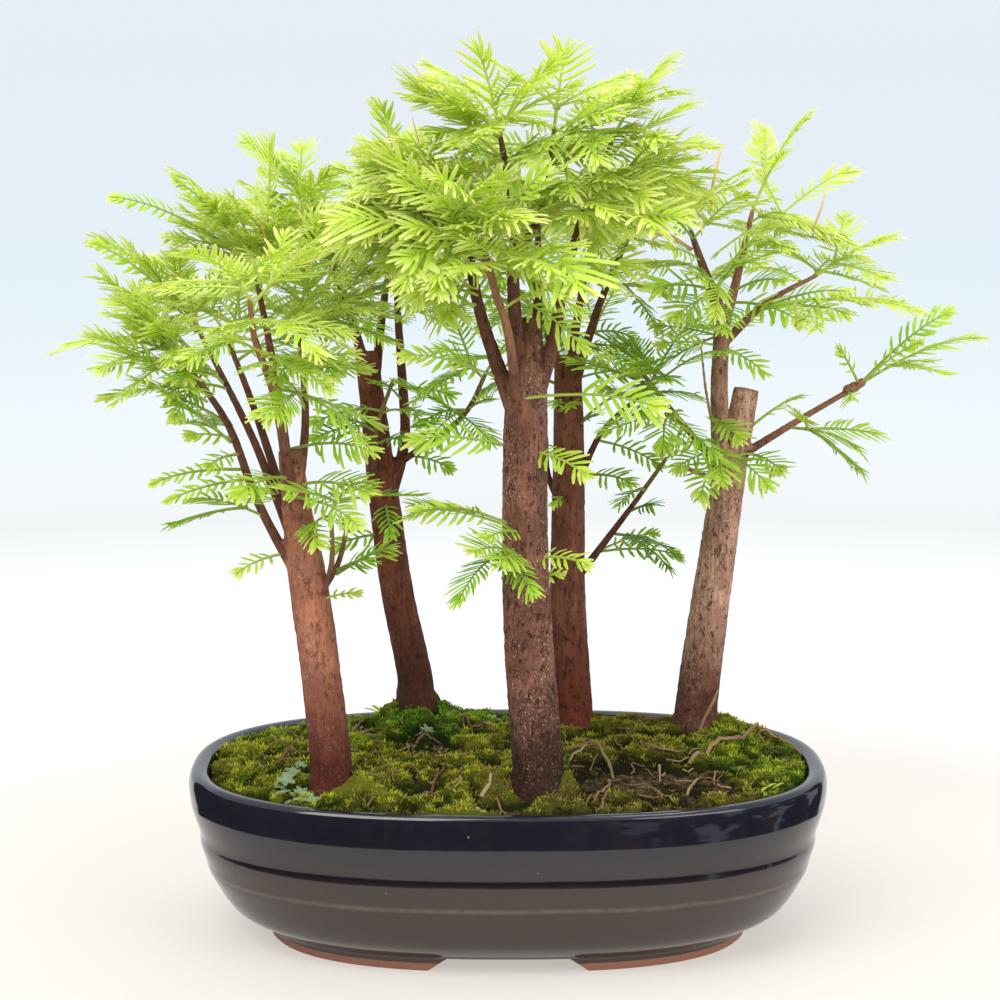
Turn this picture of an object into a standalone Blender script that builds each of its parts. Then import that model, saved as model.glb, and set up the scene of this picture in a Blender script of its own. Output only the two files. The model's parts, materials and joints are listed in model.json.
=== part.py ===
"""A forest of five dawn redwood trees in an oval glazed pot.

Lengths are in millimetres, measured from the pot's middle at table height.
+X is to the right, +Y is away from the front and +Z is up.
"""

import math
import random

import bmesh
import bpy
from mathutils import Vector
from mathutils.bvhtree import BVHTree

MM = 0.001
# The gap between two pieces that touch, and how far a cutter runs past what it cuts
CLEARANCE = 0.35
CUT_PAST = 4.0

# The pot's middle, seen from the middle of the whole object's box
POT_PLACE = (-12.5, 3.0)

# Pot: outer half sizes at the rim, and the rows of its outline
RIM_HALF_X = 136.0
RIM_HALF_Y = 95.0
OVAL_POWER = 2.5
DEPTH_SHARE = 0.7
RING_POINTS = 32
WALL = 6.5
FOOT_HEIGHT = 6.0
FLOOR_TOP = 12.5
# Each row is how far the outline is drawn in from the rim's widest line, and its height
POT_OUTSIDE = [
    (34.0, 0.0), (32.5, 6.0), (20.5, 10.0), (11.3, 20.5), (5.6, 31.6), (4.2, 39.0),
    (2.1, 48.8), (0.9, 57.5), (0.0, 66.0), (1.6, 70.3), (3.6, 71.5),
]
# The same for the inside, with the wall's thickness already added to the row
POT_INSIDE = [(6.7, 70.0), (7.4, 61.0), (9.0, 38.0), (18.0, 19.0), (34.0, FLOOR_TOP)]
FOOT_WIDTH = 9.0
FOOT_GAP_FRONT = (66.0, 50.0)
FOOT_GAP_SIDE = (44.0, 32.0)
DRAIN_PLACES = (-52.0, 52.0)
DRAIN_RADIUS = 9.0
DRAIN_SIDES = 16

# Drain screens: square plates of plastic mesh
SCREEN_SIDE = 28.0
SCREEN_THICKNESS = 1.0
SCREEN_HOLES = 3
SCREEN_HOLE_SIDE = 5.0
SCREEN_PITCH = 8.2

# Trunks and limbs: their sides, how far their bark waves and how the foot flares
TRUNK_SIDES = 10
LIMB_SIDES = 5
TRUNK_WAVE = 0.045
LIMB_WAVE = 0.05
WAVE_TWIST = 0.35
STUMP_DEPTH = 28.0
STUMP_RISE = 0.6
FLARE_HEIGHT = 0.35
FLARE_NARROWING = 0.62
FLARE_LOBES = 0.2

# Soil and moss: heights at the rim and in the middle, and how sharply the soil drops at the rim
SOIL_EDGE = 66.0
SOIL_MIDDLE = 70.5
SOIL_DROP = 6
GROUND_CEILING = 110.0
GROUND_RINGS = (1.0, 0.82, 0.62, 0.41, 0.2)
MOSS_THICKNESS = 3.0
# The moss's outer edge: the share of its thickness that stands upright, and how far it leans in
MOSS_BRINK = 0.5
MOSS_LEAN = 0.985
# Mounds: how steeply they fall, then the place, reach and height of each
MOUND_FALL = 1.6
MOUNDS = [
    ((-42, 66), 24, 9.0), ((104, 44), 30, 7.0), ((-52, -44), 18, 5.5), ((-14, -50), 16, 5.0),
    ((-96, -8), 24, 4.0), ((60, 10), 26, 3.0), ((20, -66), 14, 3.0), ((-8, 40), 22, 3.5),
]
# Bare patches in the moss: place, half length, half width and turn
PATCH_SIDES = 12
BARE_PATCHES = [((-34, 10), 20, 9, 10), ((46, -42), 17, 8, -20), ((74, 28), 12, 7, 35)]

# Leafy shoots: the stem's section and its steps
STEM_HALF_WIDTH = 0.75
TIP_HALF_WIDTH = 0.4
STEM_DEPTH = 1.3
BARE_STEP = 7.0
NEEDLE_STEP = 4.5
SHOOT_PAIRS = 8
SPRAY_PAIRS = 6
FEWEST_PAIRS = 4
SPRAY_STALK = 5.0
LEAFY_SHARE = 0.82
STEM_ARCH = 0.13
SPRAY_ARCH = 0.07
START_OUT, START_AHEAD = 0.8, 0.6
ROOT_SINK = 0.2

# Needles: how their length varies from shoot to shoot, and what a side spray's have of it
NEEDLE_VARIES = (0.88, 1.06)
SPRAY_NEEDLE_SHARE = 0.86
# How they lengthen and shorten along a spray, how far they lean ahead at its ends, in degrees,
# and how they arch
NEEDLE_SWELL = (0.22, 0.66, 0.8)
NEEDLE_LEAN = (24, 58)
NEEDLE_ARCH = (0.10, 0.010)

# How a shoot is turned until it is clear of its neighbours by the needle room. Rolls and
# angles are in degrees.
SHOOT_TRIES = 40
SPRAY_TRIES = 24
TRIES_ON_ONE_SIDE = 3
LONGEST_SWAY = 9
NEEDLE_ROOM = 0.5
STEM_ROLL = 34
SPRAY_ROLL = 32
SPRAY_ANGLE = (42, 72)
SPRAY_LIFT = (-0.4, 0.3)
SPRAY_VARIES = (0.92, 1.1)
SPRAY_DROOP = 0.15
# A stem this near to upright takes the second direction to tell left from right
STEEP = 0.3
STEEP_ACROSS = (0.4, 1, 0)

# Colours and roughness
GLAZE = (0.012, 0.014, 0.035), 0.12
SCREEN_PLASTIC = (0.02, 0.06, 0.03), 0.5
SOIL = (0.045, 0.03, 0.02), 0.95
MOSS = (0.13, 0.22, 0.03), 0.9
BARK_RED = (0.33, 0.13, 0.075), 0.75
BARK_DARK = (0.17, 0.085, 0.06), 0.8
BARK_GREY = (0.27, 0.17, 0.13), 0.75
LEAF_ROUGHNESS = 0.5
LEAF_BRIGHT = (0.42, 0.66, 0.06)
LEAF_GREEN = (0.22, 0.47, 0.06)
# The heights between which the leaves turn from green to bright
SHADE_HEIGHTS = (180, 300)

# Each tree: its foot, its foot's radius, its bark, its longest needles and its limbs. A limb is
# a line of rows of x, y, height and radius. The first limb is the trunk, and the others start
# inside it.
TREES = {
    "left_front": {
        "foot": (-72, -54), "foot_radius": 9.6, "bark": BARK_RED, "needle": 14.0,
        "limbs": {
            "trunk": [(-72.5, -54, 84, 8.4), (-76.5, -54, 120, 8.0), (-81, -54, 158, 7.8),
                      (-85, -54, 188, 6.0), (-88, -54, 213, 4.6)],
            "outer": [(-83, -54, 156, 2.6), (-101, -56, 192, 2.1), (-112, -60, 224, 1.8),
                      (-130, -66, 252, 1.1)],
            "side": [(-84, -52, 166, 2.6), (-98, -45, 202, 2.1), (-107, -42, 223, 1.8),
                     (-128, -36, 264, 1.1)],
            "front": [(-87, -57, 194, 2.8), (-92, -71, 235, 2.1), (-99, -80, 260, 1.6),
                      (-100, -88, 276, 1.2)],
            "right": [(-85, -52, 192, 2.4), (-82, -47, 225, 1.9), (-84, -48, 262, 1.2)],
            "back": [(-88, -50, 196, 2.6), (-95, -34, 240, 2.0), (-104, -26, 286, 1.2)],
            "far": [(-88, -50, 182, 2.4), (-104, -30, 226, 1.8), (-118, -8, 256, 1.2)],
            "twig_front": [(-77, -56, 148, 1.7), (-71, -62, 168, 1.4), (-71, -64, 188, 1.1)],
            "twig_back": [(-77, -51, 152, 1.7), (-69, -45, 166, 1.4), (-65, -41, 184, 1.1)],
        },
    },
    "left_back": {
        "foot": (-40, 70), "foot_radius": 10.4, "bark": BARK_DARK, "needle": 12.5,
        "limbs": {
            "trunk": [(-42.5, 70, 94, 7.8), (-50, 68, 132, 7.2), (-55, 66, 174, 6.8),
                      (-58, 66, 200, 6.0), (-63, 66, 240, 5.0)],
            "right": [(-54, 66, 170, 3.4), (-46, 66, 200, 2.8), (-47, 68, 230, 2.4),
                      (-49, 70, 264, 1.8), (-48, 64, 300, 1.2)],
            "low": [(-52, 64, 188, 2.0), (-21, 50, 212, 1.5), (-9, 44, 234, 1.2)],
            "twig": [(-59, 62, 180, 1.6), (-58, 52, 206, 1.3), (-50, 48, 230, 1.1)],
            "left": [(-61, 67, 224, 3.0), (-72, 74, 262, 2.2), (-86, 80, 298, 1.4)],
            "back": [(-60, 68, 216, 2.8), (-56, 86, 258, 2.1), (-50, 98, 294, 1.4)],
        },
    },
    "centre_front": {
        "foot": (12, -62), "foot_radius": 11.6, "bark": BARK_DARK, "needle": 15.5,
        "limbs": {
            "trunk": [(11.5, -62, 86, 10.2), (8.5, -62, 130, 9.8), (7, -62, 180, 9.0),
                      (7, -61, 232, 8.4), (8, -58, 250, 6.0), (9, -56, 266, 4.2)],
            "left": [(2, -62, 230, 4.2), (-8, -60, 258, 3.0), (-13, -58, 276, 2.6),
                     (-16, -55, 292, 2.2), (-24, -58, 318, 1.3)],
            "front": [(4, -66, 228, 3.0), (0, -75, 261, 2.1), (-5, -81, 278, 1.9),
                      (-10, -87, 296, 1.9)],
            "leader": [(5, -64, 230, 4.2), (2, -66, 276, 2.9), (2, -65, 306, 2.2),
                       (-4, -64, 342, 1.2)],
            "fork": [(3, -65, 290, 2.4), (14, -60, 312, 1.8), (18, -60, 342, 1.1)],
            "right": [(10, -62, 232, 4.2), (18, -60, 258, 3.0), (22, -57, 280, 2.4),
                      (30, -52, 308, 1.8), (42, -48, 338, 1.1)],
            "back": [(9, -56, 236, 3.2), (12, -38, 272, 2.2), (12, -22, 306, 1.3)],
        },
    },
    "centre_back": {
        "foot": (29, 54), "foot_radius": 10.0, "bark": BARK_RED, "needle": 12.5,
        "limbs": {
            "trunk": [(29, 54, 86, 8.4), (27, 52, 131, 7.8), (27, 50, 190, 7.0),
                      (26, 50, 240, 5.8)],
            "low_right": [(30, 50, 140, 2.2), (53, 40, 173, 1.5), (69, 30, 198, 1.1)],
            "high_right": [(30, 49, 182, 2.0), (42, 45, 208, 1.5), (62, 40, 227, 1.1)],
            "left": [(26, 52, 168, 2.0), (18, 56, 186, 1.6), (17, 56, 204, 1.2)],
            "up_right": [(28, 50, 222, 2.8), (40, 52, 262, 2.0), (56, 50, 300, 1.2)],
            "up_back": [(27, 52, 228, 2.8), (32, 68, 262, 2.0), (40, 86, 298, 1.2)],
            "up_left": [(25, 51, 226, 2.6), (14, 62, 262, 1.9), (4, 74, 300, 1.2)],
        },
    },
    "right": {
        "foot": (83, 45), "foot_radius": 10.8, "bark": BARK_GREY, "needle": 13.5,
        "limbs": {
            "trunk": [(84, 45, 86, 9.2), (90, 45, 132, 8.4), (97, 45, 186, 7.0),
                      (104, 45, 226, 5.4)],
            "leader": [(94, 43, 188, 5.2), (92, 40, 226, 4.4), (92, 38, 256, 3.8),
                       (86, 34, 274, 2.6), (78, 30, 296, 1.3)],
            "fork": [(92, 38, 250, 3.2), (98, 43, 269, 2.4), (106, 46, 304, 1.2)],
            "left": [(94, 42, 190, 2.2), (79, 38, 208, 1.7), (66, 34, 224, 1.4),
                     (54, 30, 240, 1.1)],
            "right": [(98, 44, 194, 2.4), (127, 40, 213, 1.7), (149, 35, 227, 1.5),
                      (152, 34, 229, 2.1)],
            "reach": [(93, 40, 246, 2.6), (112, 40, 264, 1.7), (134, 42, 276, 1.1)],
            "dead_twig": [(92, 36, 200, 1.2), (86, 31, 224, 0.9), (83, 28, 246, 0.7)],
            "cut_twig": [(92, 43, 186, 1.5), (77, 41, 192, 1.2)],
        },
    },
}

# Each shoot: its limb, how far along the limb it starts, its tip and its number of side sprays
SHOOTS = {
    "left_front": [
        ("outer", 1.0, (-178, -64, 254), 1), ("outer", 0.8, (-160, -84, 262), 2),
        ("outer", 0.6, (-150, -44, 240), 1), ("side", 1.0, (-166, -36, 296), 2),
        ("side", 0.8, (-158, -66, 282), 1), ("front", 1.0, (-122, -118, 296), 2),
        ("front", 0.85, (-72, -122, 258), 2), ("front", 0.4, (-56, -98, 222), 1),
        ("right", 1.0, (-72, -70, 306), 2), ("back", 1.0, (-134, -26, 322), 2),
        ("back", 0.9, (-96, -36, 334), 1), ("far", 1.0, (-152, 22, 284), 2),
        ("twig_front", 1.0, (-56, -84, 204), 0), ("outer", 0.3, (-124, -76, 196), 0),
    ],
    "left_back": [
        ("left", 1.0, (-116, 84, 332), 2), ("left", 0.8, (-112, 56, 290), 1),
        ("back", 1.0, (-58, 130, 322), 1), ("back", 0.8, (-86, 122, 280), 1),
        ("right", 1.0, (-54, 48, 348), 2), ("right", 0.8, (-64, 24, 300), 1),
        ("low", 1.0, (6, 16, 252), 1), ("low", 0.6, (-36, 16, 204), 0),
    ],
    "centre_front": [
        ("leader", 1.0, (-12, -68, 371), 1), ("leader", 0.9, (-38, -54, 358), 1),
        ("fork", 1.0, (22, -66, 370), 1), ("fork", 0.85, (34, -96, 352), 2),
        ("right", 1.0, (62, -54, 368), 2), ("right", 0.84, (76, -76, 334), 1),
        ("right", 0.7, (56, -106, 304), 2), ("left", 1.0, (-58, -78, 316), 2),
        ("left", 0.86, (-56, -94, 300), 2), ("front", 1.0, (-24, -136, 324), 2),
        ("front", 0.86, (16, -132, 290), 2), ("back", 1.0, (-16, 10, 338), 1),
        ("back", 0.86, (36, 6, 322), 1), ("trunk", 0.42, (-40, -90, 191), 1),
        ("trunk", 0.38, (-20, -106, 160), 1),
    ],
    "centre_back": [
        ("up_right", 1.0, (86, 28, 322), 2), ("up_back", 1.0, (64, 122, 314), 2),
        ("up_left", 1.0, (-10, 104, 334), 2), ("low_right", 0.35, (74, 34, 154), 0),
        ("high_right", 1.0, (92, 4, 246), 1),
    ],
    "right": [
        ("leader", 1.0, (60, 0, 322), 2), ("fork", 1.0, (127, 34, 343), 1),
        ("fork", 0.8, (150, 70, 320), 2), ("reach", 1.0, (166, 48, 292), 2),
        ("reach", 0.5, (172, 4, 264), 2), ("right", 1.0, (202, 28, 250), 1),
        ("right", 0.3, (150, 18, 204), 1), ("left", 0.55, (66, 6, 206), 0),
    ],
}


def empty_scene():
    for thing in list(bpy.data.objects):
        bpy.data.objects.remove(thing, do_unlink=True)


def finish(name, look):
    """A material from a colour and a roughness."""
    colour, roughness = look
    made = bpy.data.materials.new(name)
    made.use_nodes = True
    shader = made.node_tree.nodes["Principled BSDF"]
    shader.inputs["Base Color"].default_value = (*colour, 1.0)
    shader.inputs["Roughness"].default_value = roughness
    shader.inputs["Metallic"].default_value = 0.0
    return made


def make_object(name, shape, material=None):
    """An object from points in millimetres and faces, standing in the scene."""
    points, faces = shape
    mesh = bpy.data.meshes.new(name)
    mesh.from_pydata([Vector(point) * MM for point in points], [], faces)
    mesh.validate()
    thing = bpy.data.objects.new(name, mesh)
    bpy.context.scene.collection.objects.link(thing)
    if material:
        mesh.materials.append(material)
    return thing


def apply_modifiers(thing):
    graph = bpy.context.evaluated_depsgraph_get()
    made = bpy.data.meshes.new_from_object(thing.evaluated_get(graph))
    old = thing.data
    thing.modifiers.clear()
    thing.data = made
    made.name = thing.name
    bpy.data.meshes.remove(old)


def keep_largest_body(thing):
    """Leaves the outer skin alone: a scrap is dropped and a sealed hollow is filled."""
    work = bmesh.new()
    work.from_mesh(thing.data)
    left = set(work.faces)
    bodies = []
    while left:
        body = {left.pop()}
        edge_of_body = list(body)
        while edge_of_body:
            face = edge_of_body.pop()
            for edge in face.edges:
                for neighbour in edge.link_faces:
                    if neighbour in left:
                        left.discard(neighbour)
                        body.add(neighbour)
                        edge_of_body.append(neighbour)
        bodies.append(body)
    largest = max(bodies, key=len)
    spare = [face for body in bodies if body is not largest for face in body]
    bmesh.ops.delete(work, geom=spare, context="FACES")
    work.to_mesh(thing.data)
    work.free()


def combine(thing, others, operation):
    """One Boolean on a collection of the others, applied, with the others then removed."""
    if not others:
        return
    group = bpy.data.collections.new(thing.name + "_group")
    bpy.context.scene.collection.children.link(group)
    for other in others:
        bpy.context.scene.collection.objects.unlink(other)
        group.objects.link(other)
    boolean = thing.modifiers.new(operation.lower(), "BOOLEAN")
    boolean.operation = operation
    boolean.operand_type = "COLLECTION"
    boolean.collection = group
    boolean.solver = "EXACT"
    apply_modifiers(thing)
    for other in others:
        bpy.data.objects.remove(other, do_unlink=True)
    bpy.data.collections.remove(group)
    keep_largest_body(thing)


def smooth_line(rows, steps):
    """A smooth curve through the rows, with the given number of steps between two rows."""
    rows = [Vector(row) for row in rows]
    if len(rows) == 2:
        return [rows[0].lerp(rows[1], step / steps) for step in range(steps + 1)]
    rows = [rows[0] * 2 - rows[1]] + rows + [rows[-1] * 2 - rows[-2]]
    line = []
    for before, start, end, after in zip(rows, rows[1:], rows[2:], rows[3:]):
        for step in range(steps):
            t = step / steps
            line.append(
                0.5 * (2 * start + (end - before) * t
                       + (2 * before - 5 * start + 4 * end - after) * t * t
                       + (3 * start - before - 3 * end + after) * t * t * t)
            )
    line.append(rows[-2])
    return line


def directions(points):
    """The direction of the line at each of its points."""
    last = len(points) - 1
    return [
        (points[min(i + 1, last)] - points[max(i - 1, 0)]).normalized()
        for i in range(len(points))
    ]


def oval(half_x, half_y, height, share=1.0):
    points = []
    for i in range(RING_POINTS):
        turn = 2 * math.pi * i / RING_POINTS
        across = math.copysign(abs(math.cos(turn)) ** (2 / OVAL_POWER), math.cos(turn))
        along = math.copysign(abs(math.sin(turn)) ** (2 / OVAL_POWER), math.sin(turn))
        points.append((half_x * share * across, half_y * share * along, height))
    return points


def pot_ring(drawn_in, height, wall=0.0):
    return oval(
        RIM_HALF_X - drawn_in - wall, RIM_HALF_Y - DEPTH_SHARE * drawn_in - wall, height
    )


def inside_ring(drawn_in, height, gap=0.0):
    """The pot's inner wall, whose rows already hold the wall's thickness along X."""
    return pot_ring(drawn_in - WALL, height, WALL + gap)


def band(first, second, count):
    """Triangles between two rings, given the index of each ring's first point."""
    faces = []
    for i in range(count):
        j = (i + 1) % count
        faces += [(first + i, first + j, second + j), (first + i, second + j, second + i)]
    return faces


def skin_of(rings):
    """A closed shape from rings of equal count: bands between them and a flat end at each."""
    count = len(rings[0])
    points = [point for ring in rings for point in ring]
    top = (len(rings) - 1) * count
    faces = [tuple(reversed(range(count))), tuple(range(top, top + count))]
    for first in range(0, top, count):
        faces += band(first, first + count, count)
    return points, faces


def mound_height(x, y):
    height = 0.0
    for (mound_x, mound_y), reach, rise in MOUNDS:
        far = ((x - mound_x) ** 2 + (y - mound_y) ** 2) / (reach * reach)
        height += rise * math.exp(-MOUND_FALL * far)
    return height


def soil_height(x, y):
    """The soil's top: low at the rim, higher in the middle, with mounds."""
    out_x = abs(x) / (RIM_HALF_X - WALL)
    out_y = abs(y) / (RIM_HALF_Y - WALL)
    out = min(1.0, (out_x ** OVAL_POWER + out_y ** OVAL_POWER) ** (1 / OVAL_POWER))
    edge = out ** SOIL_DROP
    rise = (SOIL_MIDDLE - SOIL_EDGE) * (1 - edge)
    return SOIL_EDGE + rise + mound_height(x, y) * (1 - edge)


def ground_points(lift):
    """Rings over the soil's top from its edge inwards, then its middle, raised by the lift."""
    row = POT_INSIDE[1]
    half_x = RIM_HALF_X - row[0] - CLEARANCE
    half_y = RIM_HALF_Y - DEPTH_SHARE * (row[0] - WALL) - WALL - CLEARANCE
    flat = [place for share in GROUND_RINGS for place in oval(half_x, half_y, 0, share)]
    return [(x, y, soil_height(x, y) + lift) for x, y, _ in flat + [(0.0, 0.0, 0.0)]]


def ground_faces(first):
    """Triangles over the ground's points, given the index of the first of them."""
    middle = first + len(GROUND_RINGS) * RING_POINTS
    faces = []
    for ring in range(first, middle - RING_POINTS, RING_POINTS):
        faces += band(ring, ring + RING_POINTS, RING_POINTS)
    ring = middle - RING_POINTS
    faces += [(ring + i, ring + (i + 1) % RING_POINTS, middle) for i in range(RING_POINTS)]
    return faces


def box(low, high):
    (x0, y0, z0), (x1, y1, z1) = low, high
    points = [(x, y, z) for x in (x0, x1) for y in (y0, y1) for z in (z0, z1)]
    faces = [(0, 1, 3, 2), (4, 6, 7, 5), (0, 4, 5, 1), (2, 3, 7, 6), (0, 2, 6, 4), (1, 5, 7, 3)]
    return points, faces


def prism(outline, low, high):
    """An upright prism from an outline that runs anticlockwise."""
    count = len(outline)
    points = [(x, y, z) for z in (low, high) for x, y in outline]
    faces = [tuple(reversed(range(count))), tuple(range(count, 2 * count))]
    for i in range(count):
        j = (i + 1) % count
        faces.append((i, j, count + j, count + i))
    return points, faces


def round_outline(place, radius, count, stretch=1.0, turn=0.0):
    cosine, sine = math.cos(math.radians(turn)), math.sin(math.radians(turn))
    outline = []
    for i in range(count):
        angle = 2 * math.pi * i / count
        x, y = radius * math.cos(angle), radius * stretch * math.sin(angle)
        outline.append((place[0] + x * cosine - y * sine, place[1] + x * sine + y * cosine))
    return outline


def foot_gap_cutter(gap, reach, along_y):
    """A long bar with sloped sides, wide at the table, which parts the foot ring into feet."""
    wide, narrow = gap[0] / 2, gap[1] / 2
    below, above = -CUT_PAST, FOOT_HEIGHT
    slope = (wide - narrow) / FOOT_HEIGHT
    wide = wide - slope * below
    section = [(-wide, below), (wide, below), (narrow, above), (-narrow, above)]
    if along_y:
        points = [(x, side * reach, z) for side in (1, -1) for x, z in section]
    else:
        points = [(side * reach, x, z) for side in (-1, 1) for x, z in section]
    faces = [(3, 2, 1, 0), (4, 5, 6, 7)]
    faces += [(i, (i + 1) % 4, (i + 1) % 4 + 4, i + 4) for i in range(4)]
    return points, faces


def build_pot():
    rings = [pot_ring(POT_OUTSIDE[0][0] + FOOT_WIDTH, FOOT_HEIGHT)]
    rings.append(pot_ring(POT_OUTSIDE[0][0] + FOOT_WIDTH, 0.0))
    rings += [pot_ring(*row) for row in POT_OUTSIDE]
    rings += [inside_ring(*row) for row in POT_INSIDE]
    pot = make_object("pot", skin_of(rings), finish("glaze", GLAZE))
    cutters = [
        make_object("cut_front", foot_gap_cutter(FOOT_GAP_FRONT, RIM_HALF_Y, True)),
        make_object("cut_side", foot_gap_cutter(FOOT_GAP_SIDE, RIM_HALF_X, False)),
    ]
    for place in DRAIN_PLACES:
        outline = round_outline((place, 0), DRAIN_RADIUS, DRAIN_SIDES)
        hole = prism(outline, FOOT_HEIGHT - CUT_PAST, FLOOR_TOP + CUT_PAST)
        cutters.append(make_object("cut_drain", hole))
    combine(pot, cutters, "DIFFERENCE")


def build_screen(name, place):
    low = FLOOR_TOP + CLEARANCE
    high = low + SCREEN_THICKNESS
    half = SCREEN_SIDE / 2
    plate = box((place - half, -half, low), (place + half, half, high))
    screen = make_object(name, plate, finish("screen_plastic", SCREEN_PLASTIC))
    holes = []
    for column in range(SCREEN_HOLES):
        for row in range(SCREEN_HOLES):
            x = place + (column - (SCREEN_HOLES - 1) / 2) * SCREEN_PITCH
            y = (row - (SCREEN_HOLES - 1) / 2) * SCREEN_PITCH
            reach = SCREEN_HOLE_SIDE / 2
            corners = (
                (x - reach, y - reach, low - CUT_PAST),
                (x + reach, y + reach, high + CUT_PAST),
            )
            holes.append(make_object("cut_mesh", box(*corners)))
    combine(screen, holes, "DIFFERENCE")


def stump_cutters(low, high):
    """A plain hole for each trunk."""
    cutters = []
    for tree in TREES.values():
        outline = round_outline(tree["foot"], tree["foot_radius"] + CLEARANCE, TRUNK_SIDES)
        cutters.append(make_object("cut_stump", prism(outline, low, high)))
    return cutters


def build_soil():
    rows = reversed(POT_INSIDE[1:])
    sides = [inside_ring(drawn, height + CLEARANCE, CLEARANCE) for drawn, height in rows][:-1]
    points, faces = skin_of(sides)
    top = len(points)
    faces = [face for face in faces if min(face) < top - RING_POINTS]
    faces += band(top - RING_POINTS, top, RING_POINTS) + ground_faces(top)
    shape = points + ground_points(0.0), faces
    soil = make_object("soil", shape, finish("soil", SOIL))
    cutters = stump_cutters(SOIL_MIDDLE - STUMP_DEPTH - CLEARANCE, GROUND_CEILING)
    half = SCREEN_SIDE / 2 + CLEARANCE
    low = FLOOR_TOP - CUT_PAST
    high = FLOOR_TOP + SCREEN_THICKNESS + 2 * CLEARANCE
    for place in DRAIN_PLACES:
        pocket = box((place - half, -half, low), (place + half, half, high))
        cutters.append(make_object("cut_pocket", pocket))
    combine(soil, cutters, "DIFFERENCE")


def build_moss():
    under = ground_points(CLEARANCE)
    over = ground_points(MOSS_THICKNESS)
    rim = over[:RING_POINTS]
    brink = [(x, y, z - MOSS_BRINK * MOSS_THICKNESS) for x, y, z in rim]
    over[:RING_POINTS] = [(MOSS_LEAN * x, MOSS_LEAN * y, z) for x, y, z in rim]
    first_brink = len(under)
    first_over = first_brink + RING_POINTS
    faces = [tuple(reversed(face)) for face in ground_faces(0)] + ground_faces(first_over)
    faces += band(0, first_brink, RING_POINTS) + band(first_brink, first_over, RING_POINTS)
    shape = under + brink + over, faces
    moss = make_object("moss", shape, finish("moss", MOSS))
    low = SOIL_EDGE - CUT_PAST
    cutters = stump_cutters(low, GROUND_CEILING)
    for place, half_length, half_width, turn in BARE_PATCHES:
        outline = round_outline(place, half_length, PATCH_SIDES, half_width / half_length, turn)
        cutters.append(make_object("cut_patch", prism(outline, low, GROUND_CEILING)))
    combine(moss, cutters, "DIFFERENCE")


def tube(line, sides, wave=0.0, phase=0.0):
    """A closed tube round a line of rows of x, y, height and radius."""
    middle = [row.to_3d() for row in line]
    ahead = directions(middle)
    side = Vector((1, 0, 0))
    points = []
    for i, row in enumerate(line):
        side = (side - ahead[i] * side.dot(ahead[i])).normalized()
        front = ahead[i].cross(side)
        for k in range(sides):
            angle = 2 * math.pi * k / sides
            radius = row[3] * (1 + wave * math.sin(3 * angle + phase + WAVE_TWIST * i))
            points.append(middle[i] + (side * math.cos(angle) + front * math.sin(angle)) * radius)
    rings = [points[i * sides:(i + 1) * sides] for i in range(len(line))]
    return skin_of(rings)


def trunk_shape(tree, number):
    """The trunk: a plain stump in the soil, a flared foot and a slightly ridged stem."""
    x, y = tree["foot"]
    radius = tree["foot_radius"]
    ground = soil_height(x, y) + MOSS_THICKNESS
    outline = round_outline((x, y), radius, TRUNK_SIDES)
    stump = [
        [(px, py, z) for px, py in outline]
        for z in (SOIL_MIDDLE - STUMP_DEPTH, ground + STUMP_RISE)
    ]
    line = limb_line("trunk", tree["limbs"]["trunk"])
    points, _ = tube(line, TRUNK_SIDES, TRUNK_WAVE, number)
    stem = [points[i * TRUNK_SIDES:(i + 1) * TRUNK_SIDES] for i in range(len(line))]
    flare = []
    for k in range(TRUNK_SIDES):
        low, high = Vector(stump[1][k]), stem[0][k]
        lobe = math.sin(3 * 2 * math.pi * k / TRUNK_SIDES + number)
        point = low.lerp(high, FLARE_NARROWING + FLARE_LOBES * lobe)
        point.z = ground + FLARE_HEIGHT * (high.z - ground)
        flare.append(point)
    return skin_of(stump + [flare] + stem)


def limb_line(limb, rows):
    """A limb's smooth line, with more steps on a trunk and where its rows are few."""
    return smooth_line(rows, 2 if limb == "trunk" or len(rows) < 4 else 1)


def limb_shape(tree, limb, number):
    """A trunk or a branch, as one closed shape."""
    if limb == "trunk":
        return trunk_shape(tree, number)
    return tube(limb_line(limb, tree["limbs"][limb]), LIMB_SIDES, LIMB_WAVE, number)


def build_tree(name, tree, number):
    trunk, *limbs = [make_object("limb", limb_shape(tree, limb, number)) for limb in tree["limbs"]]
    trunk.name = "tree_" + name
    combine(trunk, limbs, "UNION")
    trunk.data.materials.clear()
    trunk.data.materials.append(finish("bark_" + name, tree["bark"]))


def needle_share(share):
    """How long a needle is at a share of its spray, against the longest one."""
    start, run, power = NEEDLE_SWELL
    return math.sin(math.pi * (start + run * share)) ** power


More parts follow.
